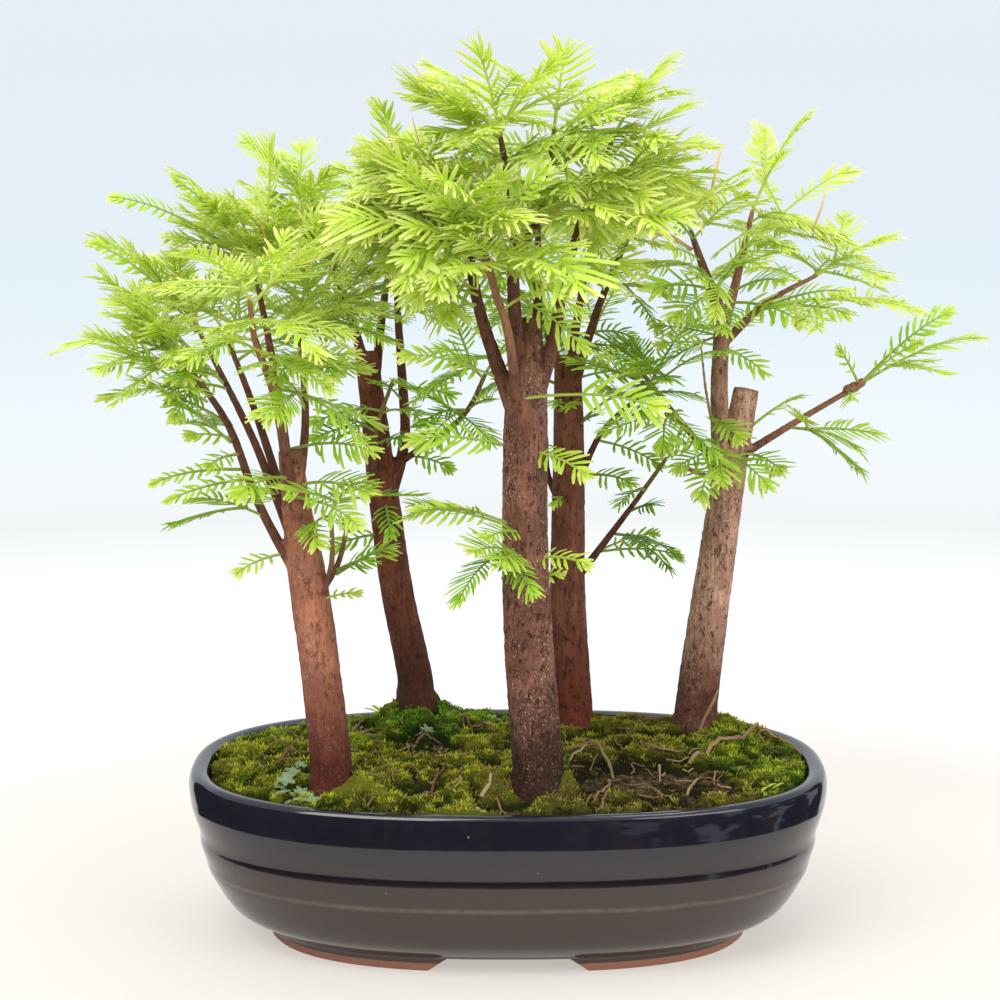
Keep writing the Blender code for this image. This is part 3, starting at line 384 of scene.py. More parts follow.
# Sprays which stand out at the front, as the picture's frame of 1000 by 1000 pixels shows them:
# the pixel where each leaves its limb, the pixel of its tip, how far back its root and its tip
# are, and its needles
SEEN_SPRAYS = {
    "left_front": [
        ((300, 446), (372, 452), -58, -86, 12), ((290, 478), (238, 496), -60, -98, 13),
        ((262, 470), (150, 485), -56, -66, 5), ((270, 478), (166, 502), -58, -76, 6),
        ((212, 224), (111, 197), -58, -60, 7), ((176, 264), (92, 243), -60, -62, 7),
        ((225, 212), (174, 180), -56, -62, 7), ((190, 340), (140, 330), -60, -70, 8),
        ((312, 488), (368, 494), -60, -88, 11), ((312, 500), (358, 526), -60, -96, 11),
        ((303, 520), (318, 546), -60, -88, 9), ((276, 556), (236, 574), -56, -70, 6),
        ((222, 345), (186, 378), -62, -92, 14), ((290, 360), (276, 380), -50, -84, 10),
        ((330, 597), (361, 594), -54, -64, 4), ((232, 440), (187, 436), -54, -66, 7),
        ((240, 452), (206, 468), -54, -78, 8), ((322, 345), (335, 380), -50, -86, 9),
    ],
    "left_back": [
        ((362, 415), (312, 425), 66, 50, 9), ((365, 432), (312, 440), 66, 46, 8),
        ((385, 535), (333, 548), 66, 52, 8), ((378, 500), (390, 535), 62, 40, 8),
        ((360, 372), (306, 366), 66, 60, 10), ((400, 452), (452, 470), 66, 50, 8),
        ((404, 384), (452, 396), 66, 60, 8),
    ],
    "centre_front": [
        ((505, 372), (402, 356), -62, -78, 9), ((505, 446), (412, 440), -62, -66, 10),
        ((508, 538), (414, 511), -66, -84, 9), ((528, 549), (474, 552), -66, -100, 13),
        ((528, 551), (500, 566), -68, -104, 12), ((524, 547), (486, 540), -68, -94, 11),
        ((520, 550), (590, 566), -70, -84, 7),
        ((500, 216), (546, 172), -84, -108, 14), ((536, 218), (578, 286), -84, -128, 21),
        ((508, 172), (474, 152), -68, -92, 13), ((508, 168), (546, 142), -68, -90, 13),
        ((560, 158), (604, 142), -66, -86, 12), ((512, 204), (552, 196), -70, -96, 13),
        ((470, 235), (408, 258), -84, -110, 13),
        ((518, 402), (658, 408), -68, -84, 13), ((540, 440), (586, 476), -64, -90, 11),
        ((545, 578), (565, 574), -60, -66, 4), ((530, 300), (585, 350), -66, -84, 9),
    ],
    "centre_back": [
        ((590, 440), (660, 466), 48, 34, 8), ((594, 556), (680, 556), 48, 40, 8),
        ((594, 552), (658, 534), 48, 36, 6), ((590, 425), (645, 412), 48, 30, 8),
        ((585, 470), (632, 484), 48, 24, 8), ((566, 500), (552, 506), 46, 36, 5),
        ((590, 380), (640, 372), 48, 40, 9), ((560, 440), (530, 470), 44, 26, 8),
    ],
    "right": [
        ((712, 420), (740, 440), 36, 8, 11), ((715, 448), (676, 470), 36, 12, 10),
        ((720, 452), (700, 498), 34, 2, 12), ((725, 455), (768, 486), 36, 6, 12),
        ((745, 446), (782, 472), 40, 14, 10), ((712, 440), (660, 452), 38, 30, 8),
        ((712, 352), (656, 346), 38, 30, 7), ((728, 350), (765, 374), 36, 24, 8),
        ((640, 350), (600, 356), 30, 26, 8), ((716, 446), (722, 482), 34, -2, 11),
        ((735, 296), (696, 276), 36, 8, 14), ((738, 292), (784, 282), 36, 8, 14),
        ((722, 288), (652, 290), 36, 14, 13), ((735, 300), (722, 330), 36, 4, 13),
        ((742, 306), (800, 322), 36, 10, 12), ((728, 292), (738, 262), 36, 8, 13),
        ((715, 296), (676, 318), 36, 8, 11), ((708, 262), (672, 250), 34, 12, 11),
        ((752, 300), (850, 292), 34, 10, 9), ((762, 312), (849, 315), 34, 8, 8),
        ((870, 376), (838, 348), 34, 26, 6), ((690, 238), (668, 214), 34, 16, 10),
        ((756, 240), (790, 250), 34, 10, 10), ((858, 388), (950, 312), 30, 26, 8),
        ((858, 388), (922, 342), 30, 22, 7),
    ],
}
SEEN_SHADE = 0.58
SEEN_BREADTH = 1.34
SEEN_FACE = (0.0, -0.75, 0.66)
SEEN_BACK_SHADE = 0.3
SEEN_SHADE_VARIES = 0.1

# The camera: its place from the pot's middle, how far it looks down and its lens
CAMERA_PLACE = (-0.0034, -1.150, 0.364)
CAMERA_DOWN = 8.9
SENSOR_WIDTH = 36.0
CAMERA_LENS = 99.07
FRAME_SIZE = 1000

for old in list(bpy.data.objects):
    bpy.data.objects.remove(old, do_unlink=True)
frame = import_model()
CAD_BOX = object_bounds()
pot_low, pot_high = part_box("pot")
PLACE = np.array([(pot_low.x + pot_high.x) / 2, (pot_low.y + pot_high.y) / 2, 0.0])


class Shape:
    """Points, faces and tints gathered for one mesh. A tint is four numbers for its material."""

    def __init__(self):
        self.points, self.faces, self.tints = [], [], []

    def add(self, points, faces, tint=(0.5, 0.5, 0.0, 0.0)):
        """Adds a shape with one tint for all its points."""
        self.add_tinted(points, faces, [tint] * len(points))

    def add_tinted(self, points, faces, tints):
        first = len(self.points)
        self.points += [tuple(point) for point in points]
        self.faces += [tuple(first + corner for corner in face) for face in faces]
        self.tints += tints


def set_tints(mesh, tints):
    layer = mesh.color_attributes.new("tint", "FLOAT_COLOR", "POINT")
    layer.data.foreach_set("color", np.array(tints, dtype=np.float32).ravel())


def to_mesh(name, points, faces):
    """A mesh in metres from points in millimetres from the pot's middle."""
    mesh = bpy.data.meshes.new(name)
    mesh.from_pydata((np.array(points) * MM + PLACE).tolist(), [], faces)
    mesh.validate()
    return mesh


def add_thing(name, data):
    thing = bpy.data.objects.new(name, data)
    bpy.context.scene.collection.objects.link(thing)
    return thing


def make_object(name, shape, material=None, sharp_angle=None):
    mesh = to_mesh(name, shape.points, shape.faces)
    if len(shape.tints) == len(mesh.vertices):
        set_tints(mesh, shape.tints)
    mesh.shade_smooth()
    if sharp_angle:
        mesh.set_sharp_from_angle(angle=math.radians(sharp_angle))
    thing = add_thing(name, mesh)
    if material:
        mesh.materials.append(material)
    return thing


def place_piece(thing, slot, *nodes):
    """The piece moves with the one body and stands for nodes. Its slot is not used."""
    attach(thing, BODY)
    if nodes:
        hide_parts(*nodes)


def apply_modifiers(thing):
    graph = bpy.context.evaluated_depsgraph_get()
    made = bpy.data.meshes.new_from_object(thing.evaluated_get(graph))
    old = thing.data
    thing.modifiers.clear()
    thing.data = made
    made.name = thing.name
    bpy.data.meshes.remove(old)


def cut_away(thing, cutters):
    group = bpy.data.collections.new("cutters")
    bpy.context.scene.collection.children.link(group)
    for cutter in cutters:
        bpy.context.scene.collection.objects.unlink(cutter)
        group.objects.link(cutter)
    boolean = thing.modifiers.new("cut", "BOOLEAN")
    boolean.operation = "DIFFERENCE"
    boolean.operand_type = "COLLECTION"
    boolean.collection = group
    boolean.solver = "EXACT"
    apply_modifiers(thing)
    for cutter in cutters:
        bpy.data.objects.remove(cutter, do_unlink=True)
    bpy.data.collections.remove(group)


def limited(value, low=0.0, high=1.0):
    return min(high, max(low, value))


def flat_way(turn):
    """A direction along the ground."""
    return Vector((math.cos(turn), math.sin(turn), 0))


def search_tree(places):
    found = kdtree.KDTree(len(places))
    for index, place in enumerate(places):
        found.insert(place, index)
    found.balance()
    return found


def oval(half_x, half_y, height, count):
    points = []
    for i in range(count):
        turn = 2 * math.pi * i / count
        across, along = (math.copysign(abs(part) ** (2 / OVAL_POWER), part)
                         for part in (math.cos(turn), math.sin(turn)))
        points.append((half_x * across, half_y * along, height))
    return points


def band(first, second, count):
    """Triangles between two rings, given the index of each ring's first point."""
    faces = []
    for i in range(count):
        j = (i + 1) % count
        faces += [(first + i, first + j, second + j), (first + i, second + j, second + i)]
    return faces


def skin_of(rings):
    """A closed shape from rings of equal count: bands between them and a flat end at each."""
    count = len(rings[0])
    points = [point for ring in rings for point in ring]
    top = (len(rings) - 1) * count
    faces = [tuple(reversed(range(count))), tuple(range(top, top + count))]
    for first in range(0, top, count):
        faces += band(first, first + count, count)
    return points, faces


def prism(outline, low, high):
    return skin_of([[(x, y, z) for x, y in outline] for z in (low, high)])


def round_outline(place, radius, count):
    angles = [2 * math.pi * i / count for i in range(count)]
    return [(place[0] + radius * math.cos(a), place[1] + radius * math.sin(a)) for a in angles]


def mound_height(x, y):
    height = 0.0
    for (mound_x, mound_y), reach, rise in MOUNDS:
        far = ((x - mound_x) ** 2 + (y - mound_y) ** 2) / (reach * reach)
        height += rise * math.exp(-MOUND_FALL * far)
    return height


def soil_height(x, y):
    """The soil's top: low at the rim, higher in the middle, with mounds."""
    out_x = abs(x) / (RIM_HALF_X - WALL)
    out_y = abs(y) / (RIM_HALF_Y - WALL)
    out = min(1.0, (out_x ** OVAL_POWER + out_y ** OVAL_POWER) ** (1 / OVAL_POWER))
    edge = out ** SOIL_DROP
    rise = (SOIL_MIDDLE - SOIL_EDGE) * (1 - edge)
    return SOIL_EDGE + rise + mound_height(x, y) * (1 - edge)


def smooth_line(rows, steps):
    """A smooth curve through the rows, with the given number of steps between two rows."""
    rows = [Vector(row) for row in rows]
    if len(rows) == 2:
        return [rows[0].lerp(rows[1], step / steps) for step in range(steps + 1)]
    rows = [rows[0] * 2 - rows[1]] + rows + [rows[-1] * 2 - rows[-2]]
    line = []
    for before, start, end, after in zip(rows, rows[1:], rows[2:], rows[3:]):
        for step in range(steps):
            t = step / steps
            line.append(
                0.5 * (2 * start + (end - before) * t
                       + (2 * before - 5 * start + 4 * end - after) * t * t
                       + (3 * start - before - 3 * end + after) * t * t * t)
            )
    line.append(rows[-2])
    return line


def directions(points):
    """The direction of the line at each of its points."""
    last = len(points) - 1
    return [
        (points[min(i + 1, last)] - points[max(i - 1, 0)]).normalized()
        for i in range(len(points))
    ]


def tube(line, sides, wave=0.0, phase=0.0):
    """A closed tube round a line of rows of x, y, height and radius."""
    middle = [row.to_3d() for row in line]
    ahead = directions(middle)
    side = Vector((1, 0, 0))
    points = []
    for i, row in enumerate(line):
        side = (side - ahead[i] * side.dot(ahead[i])).normalized()
        front = ahead[i].cross(side)
        for k in range(sides):
            angle = 2 * math.pi * k / sides
            swell = wave * math.sin(WAVE_LOBES * angle + phase + WAVE_TWIST * i)
            out = side * math.cos(angle) + front * math.sin(angle)
            points.append(middle[i] + out * (row[3] * (1 + swell)))
    rings = [points[i * sides:(i + 1) * sides] for i in range(len(line))]
    return skin_of(rings)


def trunk_shape(tree, number):
    """The trunk: a plain stump in the soil, a flared foot and a slightly ridged stem."""
    x, y = tree["foot"]
    radius = tree["foot_radius"]
    ground = soil_height(x, y) + MOSS_THICKNESS
    outline = round_outline((x, y), radius, TRUNK_SIDES)
    stump = [
        [(px, py, z) for px, py in outline]
        for z in (SOIL_MIDDLE - STUMP_DEPTH, ground + STUMP_RISE)
    ]
    line = limb_line("trunk", tree["limbs"]["trunk"])
    points, _ = tube(line, TRUNK_SIDES, TRUNK_WAVE, number)
    stem = [points[i * TRUNK_SIDES:(i + 1) * TRUNK_SIDES] for i in range(len(line))]
    flare = []
    for k in range(TRUNK_SIDES):
        low, high = Vector(stump[1][k]), stem[0][k]
        lobe = math.sin(WAVE_LOBES * 2 * math.pi * k / TRUNK_SIDES + number)
        point = low.lerp(high, FLARE_NARROWING + FLARE_LOBES * lobe)
        point.z = ground + FLARE_HEIGHT * (high.z - ground)
        flare.append(point)
    return skin_of(stump + [flare] + stem)


def limb_line(limb, rows):
    """A limb's smooth line, with more steps on a trunk and where its rows are few."""
    return smooth_line(rows, 2 if limb == "trunk" or len(rows) < 4 else 1)


def limb_shape(tree, limb, number):
    """A trunk or a branch, as one closed shape."""
    if limb == "trunk":
        return trunk_shape(tree, number)
    return tube(limb_line(limb, tree["limbs"][limb]), LIMB_SIDES, LIMB_WAVE, number)


def needle_share(share):
    """How long a needle is at a share of its spray, against the longest one."""
    start, run, power = NEEDLE_SWELL
    return math.sin(math.pi * (start + run * share)) ** power


def stem_sections(path, ahead, up, grown):
    """The three corners of a stem at each point but its last, and the ways to its side and top."""
    last = len(path) - 1
    points, sides, tops = [], [], []
    for i, place in enumerate(path[:-1]):
        side = ahead[i].cross(up).normalized()
        top = side.cross(ahead[i])
        sides.append(side)
        tops.append(top)
        more = grown * min(1.0, i / 2)
        width = STEM_HALF_WIDTH + (TIP_HALF_WIDTH - STEM_HALF_WIDTH) * i / last + more
        deep = STEM_DEPTH * width / STEM_HALF_WIDTH / 2
        points += [place - side * width + top * deep / 2, place + side * width + top * deep / 2,
                   place - top * deep]
    return points, sides, tops


def leafy_stem(path, up, bare, needle, grown=0.0):
    """One closed shape: a three-sided stem with a pair of flat needles at each step past its
    bare steps. Each needle runs out from the stem's flank to a point."""
    ahead = directions(path)
    last = len(path) - 1
    points, sides, tops = stem_sections(path, ahead, up, grown)
    points.append(path[-1])
    faces = [(0, 2, 1)]
    for i in range(last - 1):
        left, right, below = 3 * i, 3 * i + 1, 3 * i + 2
        next_left, next_right, next_below = left + 3, right + 3, below + 3
        faces += [(left, right, next_right), (left, next_right, next_left)]
        flanks = [((left, next_left, next_below, below), -1),
                  ((right, below, next_below, next_right), 1)]
        for (a, b, c, d), way in flanks:
            if i < bare:
                faces += [(a, b, c), (a, c, d)]
                continue
            share = (i - bare) / max(1, last - 1 - bare)
            lean = math.radians(NEEDLE_LEAN[0] + (NEEDLE_LEAN[1] - NEEDLE_LEAN[0]) * share)
            length = needle * needle_share(share) + grown
            reach = sides[i] * way * math.cos(lean) + ahead[i] * math.sin(lean)
            arch = tops[i] * (NEEDLE_ARCH[0] * length - NEEDLE_ARCH[1] * length * length)
            tip = len(points)
            points.append(path[i].lerp(path[i + 1], 0.5) + reach * length + arch)
            faces += [(a, b, tip), (b, c, tip), (c, d, tip), (d, a, tip)]
    left, apex = 3 * (last - 1), 3 * last
    faces += [(left, left + 1, apex), (left + 1, left + 2, apex), (left + 2, left, apex)]
    return points, faces


def arc_path(start, end, rise, shares):
    """Points from start to end on an arch, at the shares of its length."""
    middle = start.lerp(end, 0.5) + rise
    return [start * (1 - t) ** 2 + middle * 2 * t * (1 - t) + end * t * t for t in shares]


def step_shares(length, leafy_length, bare_step):
    """Shares of the length: wide steps on the bare part and needle steps on the leafy part."""
    leafy = min(leafy_length, length * LEAFY_SHARE)
    bare_length = length - leafy
    bare = max(1, round(bare_length / bare_step))
    pairs = max(FEWEST_PAIRS, round(leafy / NEEDLE_STEP))
    shares = [bare_length / length * i / bare for i in range(bare)]
    shares += [(bare_length + leafy * i / pairs) / length for i in range(pairs + 1)]
    return shares, bare


def flat_up(along, roll):
    """The direction that a spray's face looks in: upwards, rolled about its stem."""
    side = along.cross(Vector((0, 0, 1)))
    if side.length < STEEP:
        side = along.cross(Vector(STEEP_ACROSS))
    side.normalize()
    return (side.cross(along) * math.cos(roll) + side * math.sin(roll)).normalized()


def solid_tree(shape, skipped=0):
    """A search tree of a shape, leaving out the faces on its first points where asked."""
    points, faces = shape
    kept = [face for face in faces if min(face) >= skipped]
    return BVHTree.FromPolygons(points, kept)


def is_clear(shape, others, skipped=0):
    tree = solid_tree(shape, skipped)
    return not any(tree.overlap(other) for other in others)


def shoot_start(line, bark, share, tip):
    """Where a shoot leaves its limb, just clear of the bark, and which way it heads."""
    along = share * (len(line) - 1)
    index = min(len(line) - 2, int(along))
    row = line[index].lerp(line[index + 1], along - index)
    place = row.to_3d()
    ahead = (line[index + 1] - line[index]).to_3d().normalized()
    towards = tip - place
    if share >= 1.0:
        turned = 1.0 - ahead.dot(towards.normalized())
        return place + ahead * (CLEARANCE + STEM_DEPTH * turned), ahead
    out = (towards - ahead * towards.dot(ahead)).normalized()
    outside = place + out * row[3] * 3
    seat = bark.ray_cast(outside, -out)[0] or place + out * row[3]
    heading = (out * START_OUT + ahead * START_AHEAD).normalized()
    return seat + out * (CLEARANCE + STEM_HALF_WIDTH * START_AHEAD), heading


def plan_stem(start, heading, tip, needle, draw, front=0.0):
    """The leafy stem of a shoot: its path, the way its face looks, bare steps and needle."""
    length = (tip - start).length
    rise = (Vector((0, 0, 1)) + heading) * (STEM_ARCH * length)
    shares, bare = step_shares(length, SHOOT_PAIRS * NEEDLE_STEP, BARE_STEP)
    path = arc_path(start, tip, rise, shares)
    roll = math.radians(draw.uniform(-STEM_ROLL, STEM_ROLL))
    roll += math.radians(front) * (tip.x - start.x) / length
    up = flat_up((tip - start).normalized(), roll)
    return path, up, bare, needle * draw.uniform(*NEEDLE_VARIES)


def plan_spray(stem, way, order, draw, place=None, front=0.0):
    """A side spray, which leaves the bare part of a stem on its left or right."""
    path, up, bare, needle = stem
    near_end = max(1, min(bare - 1 - order, bare - 1 - draw.randrange(2)))
    place = place or near_end
    ahead = (path[place + 1] - path[place - 1]).normalized()
    side = ahead.cross(up).normalized()
    angle = math.radians(draw.uniform(*SPRAY_ANGLE))
    heading = ahead * math.cos(angle) + side * way * math.sin(angle)
    heading = (heading + up * draw.uniform(*SPRAY_LIFT)).normalized()
    reach = SPRAY_STALK + SPRAY_PAIRS * NEEDLE_STEP * draw.uniform(*SPRAY_VARIES)
    start = path[place] - heading * ROOT_SINK
    end = start + heading * reach - Vector((0, 0, draw.uniform(0.0, SPRAY_DROOP) * reach))
    shares, bare = step_shares(reach, SPRAY_PAIRS * NEEDLE_STEP, SPRAY_STALK)
    spray_path = arc_path(start, end, Vector((0, 0, SPRAY_ARCH * reach)), shares)
    roll = math.radians(draw.uniform(-SPRAY_ROLL, SPRAY_ROLL))
    tilt = flat_up(heading, roll + math.radians(front) * heading.x)
    return spray_path, tilt, bare, needle * SPRAY_NEEDLE_SHARE


def plan_shoot(start, heading, tip, needle, sprays, seed, taken):
    """The stems of one shoot, each turned a little until it is clear of all that stands."""
    for attempt in range(SHOOT_TRIES):
        draw = random.Random(1000 * seed + attempt)
        sway = Vector((draw.uniform(-1, 1), draw.uniform(-1, 1), draw.uniform(-1, 1)))
        end = tip + sway * min(attempt, LONGEST_SWAY)
        stem = plan_stem(start, heading, end, needle, draw)
        if is_clear(leafy_stem(*stem, NEEDLE_ROOM), taken):
            break
    else:
        return []
    stems = [stem]
    own = [solid_tree(leafy_stem(*stem))]
    way = draw.choice((-1, 1))
    for order in range(sprays):
        for attempt in range(SPRAY_TRIES):
            same_side = attempt % (TRIES_ON_ONE_SIDE + 1) < TRIES_ON_ONE_SIDE
            spray = plan_spray(stem, way if same_side else -way, order, draw)
            shape = leafy_stem(*spray, NEEDLE_ROOM)
            if is_clear(shape, own, SKIPPED_ROOT) and is_clear(shape, taken):
                stems.append(spray)
                own.append(solid_tree(leafy_stem(*spray)))
                break
        way = -way
    return stems


def plan_foliage():
    """The stems of every shoot by name, and each limb's bark as a search tree."""
    barks = {
        (name, limb): solid_tree(limb_shape(tree, limb, number))
        for number, (name, tree) in enumerate(TREES.items())
        for limb in tree["limbs"]
    }
    taken = list(barks.values())
    plan = {}
    for number, (name, shoots) in enumerate(SHOOTS.items()):
        for order, (limb, share, tip, sprays) in enumerate(shoots, 1):
            line = limb_line(limb, TREES[name]["limbs"][limb])
            start, heading = shoot_start(line, barks[name, limb], share, Vector(tip))
            seed = 100 * number + order
            needle = TREES[name]["needle"]
            stems = plan_shoot(start, heading, Vector(tip), needle, sprays, seed, taken)
            plan[f"shoot_{name}_{order:02d}"] = stems
            taken += [solid_tree(leafy_stem(*stem)) for stem in stems]
    return plan, barks


class Look:
    """A material with one main shader, and short ways to add nodes to it."""

    def __init__(self, name, colour=(0.5, 0.5, 0.5), **values):
        self.material = bpy.data.materials.new(name)
        self.material.use_nodes = True
        self.nodes = self.material.node_tree.nodes
        self.shader = self.nodes["Principled BSDF"]
        self.shader.inputs["Base Color"].default_value = (*colour, 1)
        for key, value in values.items():
            self.shader.inputs[key.replace("_", " ")].default_value = value

    def node(self, kind, inputs=None, **settings):
        """Adds a node of the kind, with a value or a link for each input."""
        made = self.nodes.new("ShaderNode" + kind)
        for key, value in settings.items():
            setattr(made, key, value)
        for key, value in (inputs or {}).items():
            self.join(value, made.inputs[key])
        return made

    def join(self, value, socket):
        if isinstance(value, bpy.types.NodeSocket):
            self.material.node_tree.links.new(value, socket)
        elif socket.type == "RGBA" and len(value) == 3:
            socket.default_value = (*value, 1)
        else:
            socket.default_value = value

    def set(self, name, value):
        """Sets or links an input of the main shader."""
        self.join(value, self.shader.inputs[name])

    def blend(self, share, other):
        """Shows another shader with the main one, by its share."""
        both = self.node("MixShader", {0: share, 1: self.shader.outputs[0], 2: other.outputs[0]})
        self.join(both.outputs[0], self.nodes["Material Output"].inputs["Surface"])

    def calculate(self, operation, first, second=0.0, clamp=True):
        made = self.node("Math", {0: first, 1: second}, operation=operation, use_clamp=clamp)
        return made.outputs[0]

    def times(self, first, second, clamp=True):
        return self.calculate("MULTIPLY", first, second, clamp)

    def plus(self, first, second, clamp=True):
        return self.calculate("ADD", first, second, clamp)

    def less(self, first, second, clamp=True):
        return self.calculate("SUBTRACT", first, second, clamp)

    def mix(self, share, first, second):
        """Two colours mixed by a share."""
        made = self.node("Mix", data_type="RGBA")
        for value, index in ((share, 0), (first, 6), (second, 7)):
            self.join(value, made.inputs[index])
        return made.outputs[2]

    def ramp(self, share, stops):
        """A colour or a grey read from stops of position and colour."""
        made = self.node("ValToRGB", {"Fac": share})
        elements = made.color_ramp.elements
        while len(elements) < len(stops):
            elements.new(0.5)
        for element, (position, colour) in zip(elements, stops):
            element.position = position
            element.color = (*(colour if isinstance(colour, tuple) else [colour] * 3), 1)
        return made.outputs["Color"]

    def between(self, value, low, high, start=0.0, end=1.0, smooth=False):
        """Goes from the start to the end while the value goes from low to high."""
        made = self.node("MapRange", {
            "Value": value, "From Min": low, "From Max": high, "To Min": start, "To Max": end})
        made.interpolation_type = "SMOOTHSTEP" if smooth else "LINEAR"
        return made.outputs[0]

    def place(self):
        return self.node("TexCoord").outputs["Object"]

    def place_parts(self):
        return self.node("SeparateXYZ", {0: self.place()}).outputs

    def speckle(self, size, detail=4.0, stretch=1.0, rough=0.55, offset=0.0):
        """Noise whose spots are about the size in millimetres, longer along Z by the stretch."""
        scale = 1 / (size * MM)
        moved = self.node("Mapping", {
            "Vector": self.place(), "Scale": (scale, scale, scale / stretch),
            "Location": (offset, 0, 0)})
        made = self.node("TexNoise", {
            "Vector": moved.outputs[0], "Scale": 1.0, "Detail": detail, "Roughness": rough})
        return made.outputs["Fac"]

    def height_share(self, low, high):
        """0 at the low height and 1 at the high one, in millimetres."""
        return self.between(self.place_parts()["Z"], low * MM, high * MM)

    def ring_line(self, middle, half_width):
        """1 on a thin uneven line round the pot at a height in millimetres, and 0 off it."""
        uneven = self.times(self.speckle(30, 3.0), LINE_UNEVEN * MM, False)
        height = self.less(self.place_parts()["Z"], uneven, False)
        above = self.less(height, (middle - LINE_UNEVEN / 2) * MM, False)
        far = self.calculate("ABSOLUTE", above, 0.0, False)
        return self.between(far, 0.0, half_width * MM, 1.0, 0.0, smooth=True)

    def tint(self):
        """The mesh's tint: its three colours and its fourth number."""
        tint = self.node("Attribute", attribute_name="tint")
        parts = self.node("SeparateColor", {0: tint.outputs["Color"]})
        return [*parts.outputs[:3], tint.outputs["Alpha"]]

    def bump(self, height, distance, strength=1.0):
        """Low relief of the height, its distance in millimetres."""
        made = self.node("Bump", {
            "Height": height, "Distance": distance * MM, "Strength": strength})
        self.set("Normal", made.outputs[0])


# Glaze: the height of its pale thin line, a painted highlight over thinner glaze, and of its dark
# thick one, a painted dark reflection, and how uneven they are
HIGHLIGHT_RIDGE_HEIGHT = 31.4
DARK_REFLECTION_HEIGHT = 43.6
LINE_UNEVEN = 1.6
GLAZE_ROUGHNESS = 0.09
GLAZE_BLUES = ((0.006, 0.0065, 0.011), (0.013, 0.0125, 0.021))
# The thin glaze's brown, also painted all over the low body as the warm floor's reflection
GLAZE_THIN_AND_REFLECTED_FLOOR = (0.036, 0.021, 0.015)
GLAZE_RIDGE_HIGHLIGHT = (0.150, 0.115, 0.090)
GLAZE_DARK_REFLECTION = (0.006, 0.005, 0.009)
GLAZE_PIT = (0.24, 0.15, 0.10)
CLAY_COLOURS = ((0.20, 0.075, 0.045), (0.32, 0.14, 0.085))


def glaze_material():
    """Blue-black glaze with a deep gloss, browner low down, and bare clay on the feet. The brown low
    down is a painted reflection of the warm floor mixed with thin glaze, the pale line round the pot
    a painted highlight over thinner glaze, and the dark line a painted reflection.
    """
    look = Look("blue_black_glaze", Roughness=GLAZE_ROUGHNESS, IOR=1.6)
    blue = look.mix(look.speckle(34, 3.0), *GLAZE_BLUES)
    # Painted reflection: below 36 mm the glaze turns to its thin brown, standing in for the warm
    # floor it reflects
    low = look.less(1.0, look.height_share(36, 60))
    thin = look.ramp(look.speckle(9, 5.0), [(0.52, 0.0), (0.74, 0.35)])
    thin = look.calculate("MAXIMUM", thin, look.times(low, 0.85))
    glaze = look.mix(thin, blue, GLAZE_THIN_AND_REFLECTED_FLOOR)
    grain = look.ramp(look.speckle(5, 5.0), [(0.30, 0.35), (0.70, 1.0)])
    # Painted highlight: a pale uneven line round the pot at 31.4 mm, over glaze that thins there
    ridge_highlight = look.times(look.ring_line(HIGHLIGHT_RIDGE_HEIGHT, 1.6), grain)
    glaze = look.mix(look.times(ridge_highlight, 0.55), glaze, GLAZE_RIDGE_HIGHLIGHT)
    # Painted reflection: a dark uneven line round the pot at 43.6 mm, standing in for the dark room
    # mirrored there
    glaze = look.mix(look.times(look.ring_line(DARK_REFLECTION_HEIGHT, 3.2), 0.8), glaze, GLAZE_DARK_REFLECTION)
    pits = look.ramp(look.speckle(2.6, 1.0, offset=5.0), [(0.80, 0.0), (0.82, 0.8)])
    glaze = look.mix(pits, glaze, GLAZE_PIT)
    edge = look.plus(look.height_share(2.6, 4.8), look.times(look.speckle(7), 0.35))
    clay = look.calculate("LESS_THAN", edge, 0.55)
    look.set("Base Color", look.mix(clay, glaze, look.mix(look.speckle(1.6), *CLAY_COLOURS)))
    look.set("Roughness", look.plus(look.times(clay, 0.8), GLAZE_ROUGHNESS))
    waves = look.plus(look.speckle(26, 2.0), look.times(look.speckle(2.2, 2.0), 0.05), False)
    look.bump(waves, 0.7, 0.25)
    return look.material


def screen_material():
    """Black woven plastic."""
    look = Look("screen_plastic", (0.02, 0.022, 0.024), Roughness=0.5)
    look.bump(look.speckle(0.8), 0.1)
    look.set("Base Color", look.mix(look.speckle(3), (0.014, 0.015, 0.016), (0.032, 0.032, 0.030)))
    return look.material


# Soil colours from its hollows, painted dark as shade, to its crumbs, and its pale grains
SOIL_COLOURS = [(0.3, (0.012, 0.007, 0.004)), (0.5, (0.056, 0.035, 0.018)),
                (0.72, (0.160, 0.108, 0.054))]
GRAIN_COLOUR = (0.24, 0.19, 0.14)


def soil_material():
    """Damp dark soil of fine crumbs, with pale grains; the hollows between crumbs are painted darker
    as shade.
    """
    look = Look("damp_soil", Roughness=0.92, Specular_IOR_Level=0.05)
    crumbs = look.speckle(2.4, 6.0)
    grains = look.ramp(look.speckle(0.9, 2.0, offset=4.0), [(0.66, 0.0), (0.74, 0.55)])
    # Painted shade: the same noise that raises the crumbs darkens the hollows between them
    look.set("Base Color", look.mix(grains, look.ramp(crumbs, SOIL_COLOURS), GRAIN_COLOUR))
    look.bump(crumbs, 1.4)
    return look.material


# Moss colours by its kind, from dull olive past lime to deep green: in its shade and at its tips
MOSS_SHADES = [(0.0, (0.012, 0.009, 0.004)), (0.5, (0.014, 0.020, 0.003)),
               (1.0, (0.006, 0.018, 0.002))]
MOSS_TIPS = [(0.0, (0.36, 0.31, 0.050)), (0.5, (0.68, 0.70, 0.045)), (1.0, (0.22, 0.48, 0.025))]
DRY_MOSS = ((0.03, 0.02, 0.008), (0.36, 0.30, 0.07))


